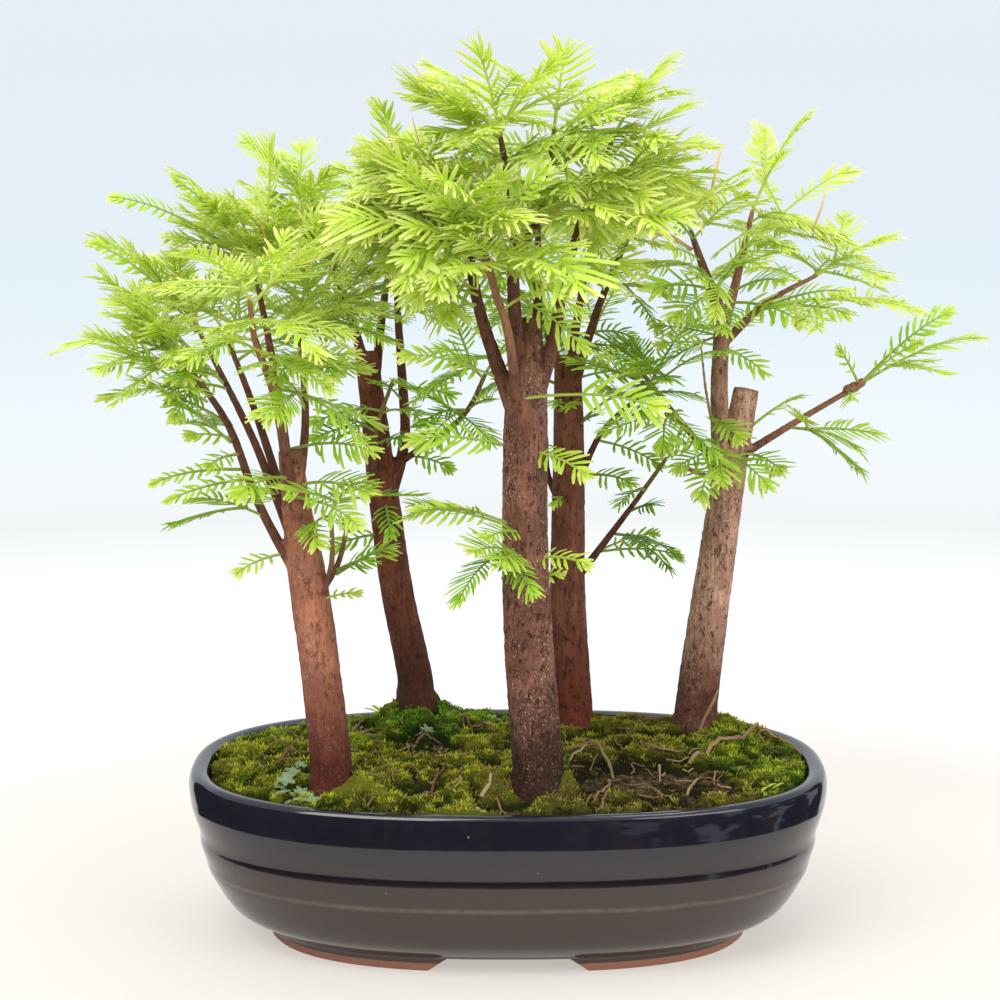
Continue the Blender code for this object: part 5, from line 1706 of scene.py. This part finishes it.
def dress_tree(name, tree, number, material):
    """One body of bark for a trunk and all its limbs, with blended joints and fine relief."""
    bark = make_object("bark_" + name, tree_shape(name, tree, number), material)
    join_tubes(bark)
    found, looks = limb_looks(name, tree)
    mesh = bark.data
    for vertex, normal in zip(mesh.vertices, [v.vector.copy() for v in mesh.vertex_normals]):
        point = from_middle(vertex)
        share = min(1.0, looks[found.find(point)[1]][0] / FULL_RELIEF)
        vertex.co += normal * relief(point, BARK_RELIEF[name], number) * share * MM
    fewer = bark.modifiers.new("fewer_faces", "DECIMATE")
    fewer.ratio = BARK_FACE_SHARE
    apply_modifiers(bark)
    mesh = bark.data
    ground = soil_height(*tree["foot"])
    tints = []
    for vertex in mesh.vertices:
        point = from_middle(vertex)
        radius, pale = look_at(point, found, looks)
        above = limited((point.z - ground) / FOOT_TINT)
        tints.append((min(1.0, radius / FULL_THICK), above, pale, 0.0))
    while mesh.color_attributes:
        mesh.color_attributes.remove(mesh.color_attributes[0])
    set_tints(mesh, tints)
    mesh.shade_smooth()
    place_piece(bark, "bark", "tree_" + name)


def foot_gap_cutter(gap, reach, along_y):
    """A long bar with sloped sides, wide at the table, which parts the foot ring into feet."""
    wide, narrow = gap[0] / 2, gap[1] / 2
    below, above = -CUT_PAST, FOOT_HEIGHT
    slope = (wide - narrow) / FOOT_HEIGHT
    wide = wide - slope * below
    section = [(-wide, below), (wide, below), (narrow, above), (-narrow, above)]
    if along_y:
        points = [(x, side * reach, z) for side in (1, -1) for x, z in section]
    else:
        points = [(side * reach, x, z) for side in (-1, 1) for x, z in section]
    faces = [(3, 2, 1, 0), (4, 5, 6, 7)]
    faces += [(i, (i + 1) % 4, (i + 1) % 4 + 4, i + 4) for i in range(4)]
    return points, faces


def pot_rows():
    """The outline from the middle of the underside, over the lip, to the floor inside.

    A row is how far the ring is drawn in along X and along Y, and its height.
    """
    foot, body = ([Vector((inset, DEPTH_SHARE * inset, height)) for inset, height in rows]
                  for rows in (FOOT_ROWS, BODY_ROWS))
    body += [Vector((inset, DEPTH_SHARE * (inset - WALL) + WALL, height))
             for inset, height in INSIDE_ROWS]
    return foot + smooth_line(body, POT_STEPS)


def shape_of(points, faces):
    shape = Shape()
    shape.add(points, faces)
    return shape


def dress_pot(material):
    rings = [oval(RIM_HALF_X - row.x, RIM_HALF_Y - row.y, row.z, POT_POINTS)
             for row in pot_rows()]
    pot = make_object("glazed_pot", shape_of(*skin_of(rings)), material)
    cutters = [
        make_object("cut", shape_of(*foot_gap_cutter(FOOT_GAP_FRONT, RIM_HALF_Y, True))),
        make_object("cut", shape_of(*foot_gap_cutter(FOOT_GAP_SIDE, RIM_HALF_X, False))),
    ]
    for place in DRAIN_PLACES:
        outline = round_outline((place, 0), DRAIN_RADIUS, DRAIN_SIDES)
        hole = prism(outline, FOOT_HEIGHT - CUT_PAST, FLOOR_TOP + CUT_PAST)
        cutters.append(make_object("cut", shape_of(*hole)))
    cut_away(pot, cutters)
    pot.data.shade_smooth()
    pot.data.set_sharp_from_angle(angle=math.radians(POT_SHARP))
    place_piece(pot, "glaze", "pot")


# Soil and moss: grid steps, how deep crumbs and cushions are, and where moss is thin
SOIL_STEP = 2.1
SOIL_INSET = 8.8
MOSS_STEP = 1.15
CRUMB_DEPTH = 1.3
CLOD_SIZE = 5.0
CUSHION_SIZES = (15.0, 6.0)
CUSHION_RISES = (4.2, 2.2)
CUSHION_LEVEL, CUSHION_POWER = 0.55, 1.5
FURROW_RISE, FURROW_SIZE = 0.5, 1.8
MOSS_SINK = 5.5
MOSS_EDGE_GAP = 0.6
MOSS_BOTTOM = 57.0
MOST_COVER = 1.1
UNEVEN_COVER = 1.5
THIN_SPOT_DEPTH = 0.75
THIN_NOISE_SIZE = 9.0
# How bright the carpet is under its tufts: at its plain height, the gain for each millimetre
# above that, and at most
CARPET_LIGHT = (0.08, 0.12, 0.5)
# Gaps between the soil and the pot's wall and floor
SOIL_GAP = 0.4
SOIL_FLOOR_GAP = 0.6

# Tufts: how many, their height and the half width of a spike's foot
TUFTS = 11500
TUFT_INSET = 1.2
TUFT_COVER_POWER = 1.5
SPIKES = 4
SPIKE_HEIGHT = (1.2, 2.7)
SPIKE_HALF_WIDTH = 0.48
SPIKE_VARIES = (0.7, 1.1)
SPIKE_OUT, SPIKE_SINK = 0.25, 0.6
TUFT_SPREAD = 1.6
TUFT_LEAN = (0.2, 1.0)
TUFT_LIGHT, SWELL_LIGHT = 0.30, 0.24
TUFT_LIGHT_VARIES = (-0.28, 0.36)
DARKEST_TUFT = 0.02
CLUMP_SIZE = 3.0
CLUMP_LIGHT = 0.9
CLUMP_RISE = 0.8
MOST_SWELL = 1.4
SPARSE_CHANCE = 0.16

# Heaps of moss against the trunks' feet: place, reach and rise
HEAPS = [((-6, -60), 11, 6.5), ((-60, -57), 10, 5.0), ((24, -60), 7, 6.0), ((-84, -52), 7, 2.5),
         ((-30, 66), 9, 4.0), ((-54, 74), 9, 4.0), ((44, 50), 8, 3.0), ((98, 44), 9, 3.0)]
KIND_VARIES, KIND_SIZE = 0.35, 9.0
# Kinds of moss: place, reach and kind, from 0 (dull olive) past 0.5 (lime) to 1 (deep green)
KINDS = [
    ((-100, -15), 34, 0.55), ((-25, 52), 26, 0.95), ((-60, 88), 24, 0.8), ((-40, -24), 26, 0.35),
    ((-12, -50), 18, 0.5), ((54, -30), 36, 0.1), ((104, -6), 28, 0.8), ((112, 48), 24, 0.5),
    ((-58, -58), 9, 0.05), ((-7, -60), 10, 0.05), ((54, 52), 30, 0.2), ((-84, 40), 26, 0.7),
    ((-52, -66), 16, 0.45), ((6, 20), 22, 0.25),
]


def in_patch(x, y, patch):
    """How far into an oval patch a place is: 1 in its middle and 0 from its edge on."""
    (patch_x, patch_y), half_long, half_wide, degrees = patch
    turn = math.radians(degrees)
    along = (x - patch_x) * math.cos(turn) + (y - patch_y) * math.sin(turn)
    across = (y - patch_y) * math.cos(turn) - (x - patch_x) * math.sin(turn)
    return max(0.0, 1 - math.hypot(along / half_long, across / half_wide))


def moss_cover(x, y):
    """How well moss covers a place: 1 where it is thick and 0 on bare soil."""
    bare = max(min(1.0, 3 * in_patch(x, y, patch)) for patch in BARE_PATCHES)
    thin = max(min(1.0, 2 * in_patch(x, y, spot)) for spot in THIN_SPOTS) * THIN_SPOT_DEPTH
    uneven = noise.fractal(Vector((x, y, 3)) / THIN_NOISE_SIZE, 1.0, 2.0, 3)
    return limited(MOST_COVER - bare - thin - UNEVEN_COVER * max(0.0, uneven))


def ground_height(x, y):
    """The soil's surface with its crumbs and clods."""
    clods = noise.fractal(Vector((x, y, 20)) / CLOD_SIZE, 0.8, 2.1, 4)
    return soil_height(x, y) + CRUMB_DEPTH * clods


def moss_height(x, y):
    """The moss's surface: cushions with furrows between them, low where the cover is thin."""
    height = soil_height(x, y) + MOSS_THICKNESS
    for size, rise in zip(CUSHION_SIZES, CUSHION_RISES):
        near = noise.voronoi(Vector((x, y, 7 * size)) / size)[0]
        height += rise * (CUSHION_LEVEL - min(1.0, near[0]) ** CUSHION_POWER)
    height += FURROW_RISE * noise.noise(Vector((x, y, 0)) / FURROW_SIZE)
    for (heap_x, heap_y), reach, rise in HEAPS:
        far = ((x - heap_x) ** 2 + (y - heap_y) ** 2) / (reach * reach)
        height += rise * math.exp(-MOUND_FALL * far)
    return height - MOSS_SINK * (1 - moss_cover(x, y))


def moss_kind(x, y):
    """The kind of moss at a place, as the nearest entries of KINDS give it, a little uneven."""
    weights = [math.exp(-2 * ((x - kind_x) ** 2 + (y - kind_y) ** 2) / reach ** 2) + 1e-6
               for (kind_x, kind_y), reach, _ in KINDS]
    kind = sum(weight * row[2] for weight, row in zip(weights, KINDS)) / sum(weights)
    return limited(kind + KIND_VARIES * noise.noise(Vector((x, y, 9)) / KIND_SIZE))


def oval_reach(x, y, half_x, half_y):
    return ((abs(x) / half_x) ** OVAL_POWER + (abs(y) / half_y) ** OVAL_POWER) ** (1 / OVAL_POWER)


def grid_cells(half_x, half_y, step):
    """The cells of a grid whose middles are in the oval, and the number of each corner."""
    numbers = {}
    cells = []
    across, along = int(half_x / step) + 2, int(half_y / step) + 2
    for i in range(-across, across):
        for j in range(-along, along):
            if oval_reach((i + 0.5) * step, (j + 0.5) * step, half_x, half_y) < 1:
                corners = [(i, j), (i + 1, j), (i + 1, j + 1), (i, j + 1)]
                cells.append(tuple(numbers.setdefault(c, len(numbers)) for c in corners))
    return cells, numbers


def outer_edge(cells):
    """The corners round the outside of the cells, in order."""
    sides = dict.fromkeys(side for cell in cells for side in zip(cell, cell[1:] + cell[:1]))
    after = {start: end for start, end in sides if (end, start) not in sides}
    edge = [next(iter(after))]
    while after[edge[-1]] != edge[0]:
        edge.append(after[edge[-1]])
    return edge


def oval_slab(half_x, half_y, step, height_of, rows):
    """A closed slab in the oval: a fine grid on top, whose edge goes down through the rows.

    A row is the slab's half sizes and its height.
    """
    cells, numbers = grid_cells(half_x, half_y, step)
    edge = outer_edge(cells)
    on_edge = set(edge)
    points = []
    for (i, j), number in numbers.items():
        x, y = i * step, j * step
        if number in on_edge:
            reach = oval_reach(x, y, half_x, half_y)
            x, y = x / reach, y / reach
        points.append((x, y, height_of(x, y)))
    faces = list(cells)
    ring = edge
    for row_x, row_y, height in rows:
        lower = range(len(points), len(points) + len(edge))
        points += [(points[number][0] * row_x / half_x, points[number][1] * row_y / half_y, height)
                   for number in edge]
        for k in range(len(edge)):
            after_k = (k + 1) % len(edge)
            faces.append((ring[after_k], ring[k], lower[k], lower[after_k]))
        ring = lower
    faces.append(tuple(reversed(ring)))
    return points, faces


def inside_row(inset, height, gap):
    """A row of the pot's inside, drawn in by the gap."""
    return (RIM_HALF_X - inset - gap, RIM_HALF_Y - DEPTH_SHARE * (inset - WALL) - WALL - gap, height)


def dress_soil(material):
    half_x, half_y, _ = inside_row(SOIL_INSET, SOIL_EDGE, SOIL_GAP)
    rows = [inside_row(inset, height, SOIL_GAP) for inset, height in INSIDE_ROWS[2:]]
    rows[-1] = (*rows[-1][:2], FLOOR_TOP + SOIL_FLOOR_GAP)
    shape = shape_of(*oval_slab(half_x, half_y, SOIL_STEP, ground_height, rows))
    place_piece(make_object("soil_crumbs", shape, material), "soil", "soil")


def dress_moss(material):
    half_x, half_y, _ = inside_row(SOIL_INSET, SOIL_EDGE, MOSS_EDGE_GAP)
    rows = [(half_x - 0.5, half_y - 0.5, MOSS_BOTTOM)]
    points, faces = oval_slab(half_x, half_y, MOSS_STEP, moss_height, rows)
    plain, gain, most = CARPET_LIGHT
    shape = Shape()
    tints = []
    for x, y, z in points:
        bright = limited(plain + gain * (z - soil_height(x, y) - MOSS_THICKNESS), 0.0, most)
        tints.append((0.0, bright, moss_kind(x, y), 0.2))
    shape.add_tinted(points, faces, tints)
    place_piece(make_object("moss_carpet", shape, material), "moss", "moss")


def dress_tufts(material):
    """Small tufts of pointed leaves all over the moss, higher on the cushions."""
    draw = random.Random(TUFT_SEED)
    half_x, half_y, _ = inside_row(SOIL_INSET, SOIL_EDGE, TUFT_INSET)
    shapes = [Shape(), Shape()]
    made = 0
    while made < TUFTS:
        x, y = draw.uniform(-half_x, half_x), draw.uniform(-half_y, half_y)
        chance = max(moss_cover(x, y) ** TUFT_COVER_POWER, SPARSE_CHANCE)
        if oval_reach(x, y, half_x, half_y) > 1 or draw.random() > chance:
            continue
        if any(math.dist((x, y), tree["foot"]) < tree["foot_radius"] for tree in TREES.values()):
            continue
        made += 1
        z = surface_height(x, y)
        swell = min(MOST_SWELL, z - soil_height(x, y) - MOSS_THICKNESS)
        clump = noise.noise(Vector((x, y, 5)) / CLUMP_SIZE)
        bright = TUFT_LIGHT + SWELL_LIGHT * swell + CLUMP_LIGHT * clump
        bright = limited(bright + draw.uniform(*TUFT_LIGHT_VARIES), DARKEST_TUFT)
        chance = draw.random() ** 3
        tall = draw.uniform(*SPIKE_HEIGHT) * (1 + CLUMP_RISE * clump)
        shape = shapes[x >= 0]
        for spike in range(SPIKES):
            turn = 2 * math.pi * (spike + draw.random()) / SPIKES
            lean = draw.uniform(*TUFT_LEAN) * TUFT_SPREAD
            add_spike(shape, (x, y, z), turn, lean, tall * draw.uniform(*SPIKE_VARIES),
                      (chance, bright, moss_kind(x, y)))
    for side, shape in zip(("left", "right"), shapes):
        place_piece(make_object("moss_tufts_" + side, shape, material, GROUND_SHARP), "moss")


def add_spike(shape, place, turn, lean, tall, look):
    """A three-sided leaf which leans outwards from its tuft's middle."""
    up = Vector((0, 0, 1))
    root = Vector(place) + flat_way(turn) * SPIKE_OUT - up * SPIKE_SINK
    tip = root + (flat_way(turn) * lean + up).normalized() * tall
    base = [root + flat_way(turn + 2 * math.pi * k / 3) * SPIKE_HALF_WIDTH for k in range(3)]
    faces = [(0, 1, 3), (1, 2, 3), (2, 0, 3), (2, 1, 0)]
    tints = [(*look, 0.15)] * 3 + [(*look, 1.0)]
    shape.add_tinted(base + [tip], faces, tints)


# Litter: each stick's places on the ground, its radii at both ends, how high its middle
# stands off the ground, and its looks: how pale it is and how red
STICKS = [
    ([(77, -13), (89, 2), (102, 14), (111, 32), (118, 28), (127, 10)], 1.3, 0.7, 3.0, 0.85, 0.25),
    ([(59, -1), (66, -4), (74, -4), (85, 5)], 0.7, 0.5, 0.8, 0.6, 0.1),
    ([(26, 5), (36, 0), (42, -15), (44, -31)], 1.0, 0.7, 2.0, 0.55, 0.0),
    ([(26, -12), (36, 4)], 0.7, 0.5, 1.5, 0.85, 0.0),
    ([(42, -35), (41, -51), (32, -74), (28, -75)], 0.9, 0.5, 1.4, 0.5, 0.1),
    ([(42, -48), (38, -75), (37, -81)], 0.8, 0.5, 1.2, 0.35, 0.2),
    ([(54, -44), (60, -50), (63, -62), (67, -69)], 0.9, 0.6, 0.9, 0.5, 0.2),
    ([(73, -57), (80, -29)], 0.7, 0.5, 1.6, 0.8, 0.1),
    ([(58, -17), (61, -33)], 0.6, 0.5, 1.2, 0.4, 0.3),
    ([(64, -17), (63, -38)], 0.8, 0.3, 1.4, 0.9, 0.0),
    ([(69, -36), (77, -36), (82, -29)], 0.5, 0.4, 1.0, 0.6, 0.2),
    ([(80, -52), (84, -63)], 0.6, 0.4, 1.0, 0.8, 0.1),
    ([(-97, -21), (-88, 29)], 1.0, 0.8, 1.0, 0.25, 0.45),
    ([(-69, 37), (-63, 52)], 0.6, 0.5, 2.5, 0.75, 0.0),
    ([(-72, 20), (-59, 101)], 0.6, 0.4, 1.5, 0.35, 0.1),
    ([(-40, 23), (-36, 26), (-29, 25)], 0.7, 0.5, 3.0, 0.55, 0.5),
    ([(-11, -73), (-8, -69), (-7, -64)], 1.1, 0.7, 1.2, 1.0, 0.0),
    ([(-13, -84), (-10, -81), (-8, -82)], 1.2, 0.7, 1.4, 1.0, 0.0),
    ([(-5, -73), (0, -83)], 0.7, 0.5, 1.4, 0.7, 0.4),
    ([(-32, -57), (-28, -39), (-25, -12)], 0.8, 0.5, 1.0, 0.3, 0.5),
    ([(-20, 50), (-14, 38), (-6, 29)], 0.9, 0.6, 1.5, 0.4, 0.6),
]
STICK_SIDES = 6
STICK_SHARE = 0.78
STICK_STEPS = 6
STICK_VARIES = (0.85, 1.15)
# Scraps: how many, each one's half length, bend, height off the ground and radius
SCRAPS = 150
SCRAP_INSET = 6.0
SCRAP_HALF = (1.2, 5.5)
SCRAP_BEND = (-2, 2)
SCRAP_LIFT = (0.4, 1.5)
SCRAP_RADIUS = (0.22, 0.5)
SCRAP_SIDES = 5
# Lichen: its places, and for each the number of flakes, their spread, size, lobes and thickness
LICHEN_PLACES = [(-91, -29), (-87, -25), (-87, -42), (-86, -56), (-82, -64), (-90, -64),
                 (-78, -38), (-94, -50), (-36, 39), (-6, 62)]
FLAKES = 3
FLAKE_SPREAD = 3
FLAKE_SIZE = (2.0, 4.2)
FLAKE_LOBES = (4, 7)
FLAKE_POINTS = 24
FLAKE_THICKNESS = 0.5
FLAKE_LIFT = 0.9


def surface_height(x, y):
    """The height of what shows at a place: moss or bare soil."""
    return max(ground_height(x, y), moss_height(x, y))


def stick_line(places, thick, thin, lift, draw):
    """A stick's line over the ground, with its middle off it and an uneven radius."""
    flat = smooth_line([(x, y, 0) for x, y in places], STICK_STEPS)
    last = len(flat) - 1
    line = []
    for i, place in enumerate(flat):
        arch = lift * (0.3 + math.sin(math.pi * i / last))
        height = surface_height(place.x, place.y) + arch
        radius = STICK_SHARE * (thick + (thin - thick) * i / last)
        line.append(Vector((place.x, place.y, height, radius * draw.uniform(*STICK_VARIES))))
    return line


def scrap_line(half_x, half_y, draw):
    """A curled scrap's line, anywhere on the ground."""
    turn, out = draw.uniform(0, 2 * math.pi), math.sqrt(draw.random())
    place = Vector((half_x * out * math.cos(turn), half_y * out * math.sin(turn), 0))
    heading = draw.uniform(0, 2 * math.pi)
    along, across = flat_way(heading), flat_way(heading + math.pi / 2)
    half = draw.uniform(*SCRAP_HALF)
    bend = draw.uniform(*SCRAP_BEND)
    line = []
    for share in (-1, -0.3, 0.4, 1):
        x, y, _ = place + along * (half * share) + across * (bend * share * share)
        height = surface_height(x, y) + draw.uniform(*SCRAP_LIFT)
        line.append(Vector((x, y, height, draw.uniform(*SCRAP_RADIUS))))
    return line


def dress_litter(material):
    """Roots, sticks and curled scraps which lie on the moss and the soil."""
    draw = random.Random(LITTER_SEED)
    shape = Shape()
    for places, thick, thin, lift, pale, red in STICKS:
        line = stick_line(places, thick, thin, lift, draw)
        shape.add(*tube(line, STICK_SIDES, LITTER_WAVE), (draw.random(), pale, red, 0.0))
    half_x, half_y, _ = inside_row(SOIL_INSET, SOIL_EDGE, SCRAP_INSET)
    for _ in range(SCRAPS):
        line = scrap_line(half_x, half_y, draw)
        look = (draw.random(), draw.uniform(0.2, 1), draw.uniform(0, 0.5), 0.0)
        shape.add(*tube(line, SCRAP_SIDES), look)
    place_piece(make_object("litter", shape, material, GROUND_SHARP), "bark")


def flake(x, y, draw):
    """A small lobed flake of lichen, tilted a little and curled up at its edge."""
    z = surface_height(x, y) + FLAKE_LIFT
    size, lobes, start = draw.uniform(*FLAKE_SIZE), draw.randrange(*FLAKE_LOBES), draw.random()
    tilt = Vector((draw.uniform(-0.4, 0.4), draw.uniform(-0.5, 0.1), 1)).normalized()
    low, high = [], []
    for k in range(FLAKE_POINTS):
        angle = 2 * math.pi * k / FLAKE_POINTS
        reach = size * (0.72 + 0.28 * math.sin(lobes * angle + 6 * start))
        flat = flat_way(angle) * reach
        rise = -(tilt.x * flat.x + tilt.y * flat.y) / tilt.z + 0.10 * reach
        low.append((x + flat.x, y + flat.y, z + rise - FLAKE_THICKNESS))
        high.append((x + flat.x, y + flat.y, z + rise))
    return skin_of([low, high])


def dress_lichen(material):
    draw = random.Random(LICHEN_SEED)
    shape = Shape()
    for x, y in LICHEN_PLACES:
        for _ in range(FLAKES):
            shift_x = draw.uniform(-FLAKE_SPREAD, FLAKE_SPREAD)
            shift_y = draw.uniform(-FLAKE_SPREAD, FLAKE_SPREAD)
            shape.add(*flake(x + shift_x, y + shift_y, draw))
    place_piece(make_object("lichen_flakes", shape, material, LEAF_SHARP), "moss")


# The stage: a round floor which bends up to a wall, glowing softly away from the pot. Near the pot
# half of it glows, a little brighter, as painted light which fills the shadows cast there
FLOOR_RADIUS = 5.0
BEND_RADIUS = 1.5
STAGE_TOP = 4.0
BEND_STEPS = 12
STAGE_SIDES = 96
GLOW_FROM, GLOW_TO = 0.35, 1.1
# Near the pot: the glow's share and power, painted light which fills the shadows cast on the floor
SHADOW_FILL_GLOW, SHADOW_FILL_POWER = 0.5, 1.36
STAGE_FAR = 8.0
# The colour at shares of the way out from the pot: warm white, then paler and bluer
STAGE_COLOURS = [
    (0.04, (0.71, 0.67, 0.62)), (0.075, (0.88, 0.875, 0.862)), (0.19, (0.905, 0.965, 1.0)),
    (0.34, (0.81, 0.90, 0.96)), (0.60, (0.78, 0.87, 0.94)), (0.86, (0.80, 0.85, 0.91)),
]


def stage_material():
    """A warm white floor which turns pale blue and glows further out. Near the pot it glows too, at
    half share and more power, as painted light that fills the shadows cast on it.
    """
    look = Look("pale_stage", Roughness=0.9)
    x, y, height = look.place_parts()
    flat = look.node("CombineXYZ", {0: x, 1: y})
    away = look.node("VectorMath", {0: flat.outputs[0]}, operation="LENGTH")
    out = look.plus(away.outputs["Value"], height, False)
    colour = look.ramp(look.calculate("DIVIDE", out, STAGE_FAR), STAGE_COLOURS)
    look.set("Base Color", colour)
    # Painted light: near the pot the floor is half glow at more power, which fills the shadows cast
    # on it
    glow = look.between(out, GLOW_FROM, GLOW_TO, SHADOW_FILL_GLOW, smooth=True)
    power = look.between(out, GLOW_FROM, GLOW_TO, SHADOW_FILL_POWER, 1.0)
    look.blend(glow, look.node("Emission", {"Color": colour, "Strength": power}))
    return look.material


def make_stage():
    outline = [(0.4, 0.0), (1.2, 0.0), (FLOOR_RADIUS, 0.0)]
    for i in range(1, BEND_STEPS + 1):
        turn = math.pi / 2 * i / BEND_STEPS
        outline.append((FLOOR_RADIUS + BEND_RADIUS * math.sin(turn),
                        BEND_RADIUS * (1 - math.cos(turn))))
    outline.append((FLOOR_RADIUS + BEND_RADIUS, STAGE_TOP))
    points = [(x, y, height) for radius, height in outline
              for x, y in round_outline((0, 0), radius, STAGE_SIDES)]
    faces = [tuple(range(STAGE_SIDES))]
    for first in range(0, len(points) - STAGE_SIDES, STAGE_SIDES):
        faces += band(first + STAGE_SIDES, first, STAGE_SIDES)
    mesh = bpy.data.meshes.new("stage")
    mesh.from_pydata(points, [], faces)
    mesh.shade_smooth()
    mesh.materials.append(stage_material())
    stage = add_thing("stage", mesh)
    stage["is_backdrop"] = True


# A dark surround round the front, with pale patches at its right, which only the glaze's gloss sees
SURROUND_HALF_SIZES = (0.24, 0.19)
SURROUND_HEIGHTS = (0.001, 0.13)
SURROUND_ARC = (-206, 26)
SURROUND_STEPS = 48
PATCH_RIGHT = (0.02, 0.12)
PATCH_COLOUR = (0.80, 0.88, 1.0)


def surround_material():
    look = Look("dark_surround", (0.006, 0.006, 0.010), Roughness=1.0)
    patches = look.ramp(look.speckle(45, 2.0), [(0.54, 0.0), (0.58, 0.7)])
    right = look.between(look.place_parts()["X"], *PATCH_RIGHT)
    look.set("Emission Color", PATCH_COLOUR)
    look.set("Emission Strength", look.times(patches, right))
    return look.material


def make_surround():
    points = []
    for i in range(SURROUND_STEPS + 1):
        start, end = SURROUND_ARC
        turn = math.radians(start + (end - start) * i / SURROUND_STEPS)
        x = PLACE[0] + SURROUND_HALF_SIZES[0] * math.cos(turn)
        y = PLACE[1] + SURROUND_HALF_SIZES[1] * math.sin(turn)
        points += [(x, y, height) for height in SURROUND_HEIGHTS]
    faces = [(2 * i, 2 * i + 2, 2 * i + 3, 2 * i + 1) for i in range(SURROUND_STEPS)]
    mesh = bpy.data.meshes.new("surround")
    mesh.from_pydata(points, [], faces)
    mesh.materials.append(surround_material())
    surround = add_thing("surround", mesh)
    for seen_by in ("camera", "diffuse", "transmission", "shadow"):
        setattr(surround, "visible_" + seen_by, False)
    surround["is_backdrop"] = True


# Each light: its place, what it points at, its size, its power and its colour
LIGHTS = {
    "key": ((-0.8, -1.2, 1.5), (0.0, 0.0, 0.15), (1.4, 1.1), 28, (1.0, 0.97, 0.93)),
    "fill": ((1.2, -1.1, 0.8), (0.0, 0.0, 0.15), (1.2, 1.2), 16, (1.0, 0.99, 0.97)),
    "top": ((0.0, 0.2, 1.9), (0.0, 0.0, 0.2), (1.6, 1.2), 20, (1.0, 1.0, 1.0)),
}
WORLD_COLOUR = (0.80, 0.88, 1.0)
WORLD_STRENGTH = 0.78


def make_lights():
    for name, (place, target, size, power, colour) in LIGHTS.items():
        light = bpy.data.lights.new(name, "AREA")
        light.shape = "RECTANGLE"
        light.size, light.size_y = size
        light.energy = power
        light.color = colour
        lamp = add_thing(name, light)
        lamp.location = place
        lamp.rotation_euler = (Vector(target) - Vector(place)).to_track_quat("-Z", "Y").to_euler()
    world = bpy.data.worlds.new("studio")
    world.use_nodes = True
    background = world.node_tree.nodes["Background"]
    background.inputs["Color"].default_value = (*WORLD_COLOUR, 1)
    background.inputs["Strength"].default_value = WORLD_STRENGTH
    bpy.context.scene.world = world


def make_camera():
    camera = bpy.data.cameras.new("camera")
    camera.sensor_width = SENSOR_WIDTH
    camera.lens = CAMERA_LENS
    eye = add_thing("camera", camera)
    eye.location = Vector(CAMERA_PLACE) + Vector(PLACE)
    eye.rotation_euler = (math.radians(90 - CAMERA_DOWN), 0, 0)
    bpy.context.scene.camera = eye
    bpy.context.scene.view_settings.view_transform = "Standard"


def finish_screens():
    """The drain screens keep their own mesh and get a new finish."""
    material = screen_material()
    for name, thing in frame["nodes"].items():
        if name.startswith("drain_screen"):
            thing.data.materials.clear()
            thing.data.materials.append(material)


def main():
    make_camera()
    make_lights()
    make_stage()
    make_surround()
    finish_screens()
    dress_pot(glaze_material())
    dress_soil(soil_material())
    moss = moss_material()
    dress_moss(moss)
    dress_tufts(moss)
    litter = debris_material()
    dress_litter(litter)
    dress_air_root(litter)
    dress_lichen(lichen_material())
    for number, (name, tree) in enumerate(TREES.items()):
        dress_tree(name, tree, number, bark_material(name))
    leaves = leaf_material()
    plan, barks = plan_foliage()
    solids = list(barks.values())
    dress_shoots(plan, solids, leaves)
    dress_crowns(barks, solids, leaves)
    dress_ground_leaves(leaves)
    dress_young_stems(young_material())


main()
boxes = [[list(corner) for corner in box] for box in (CAD_BOX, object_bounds())]
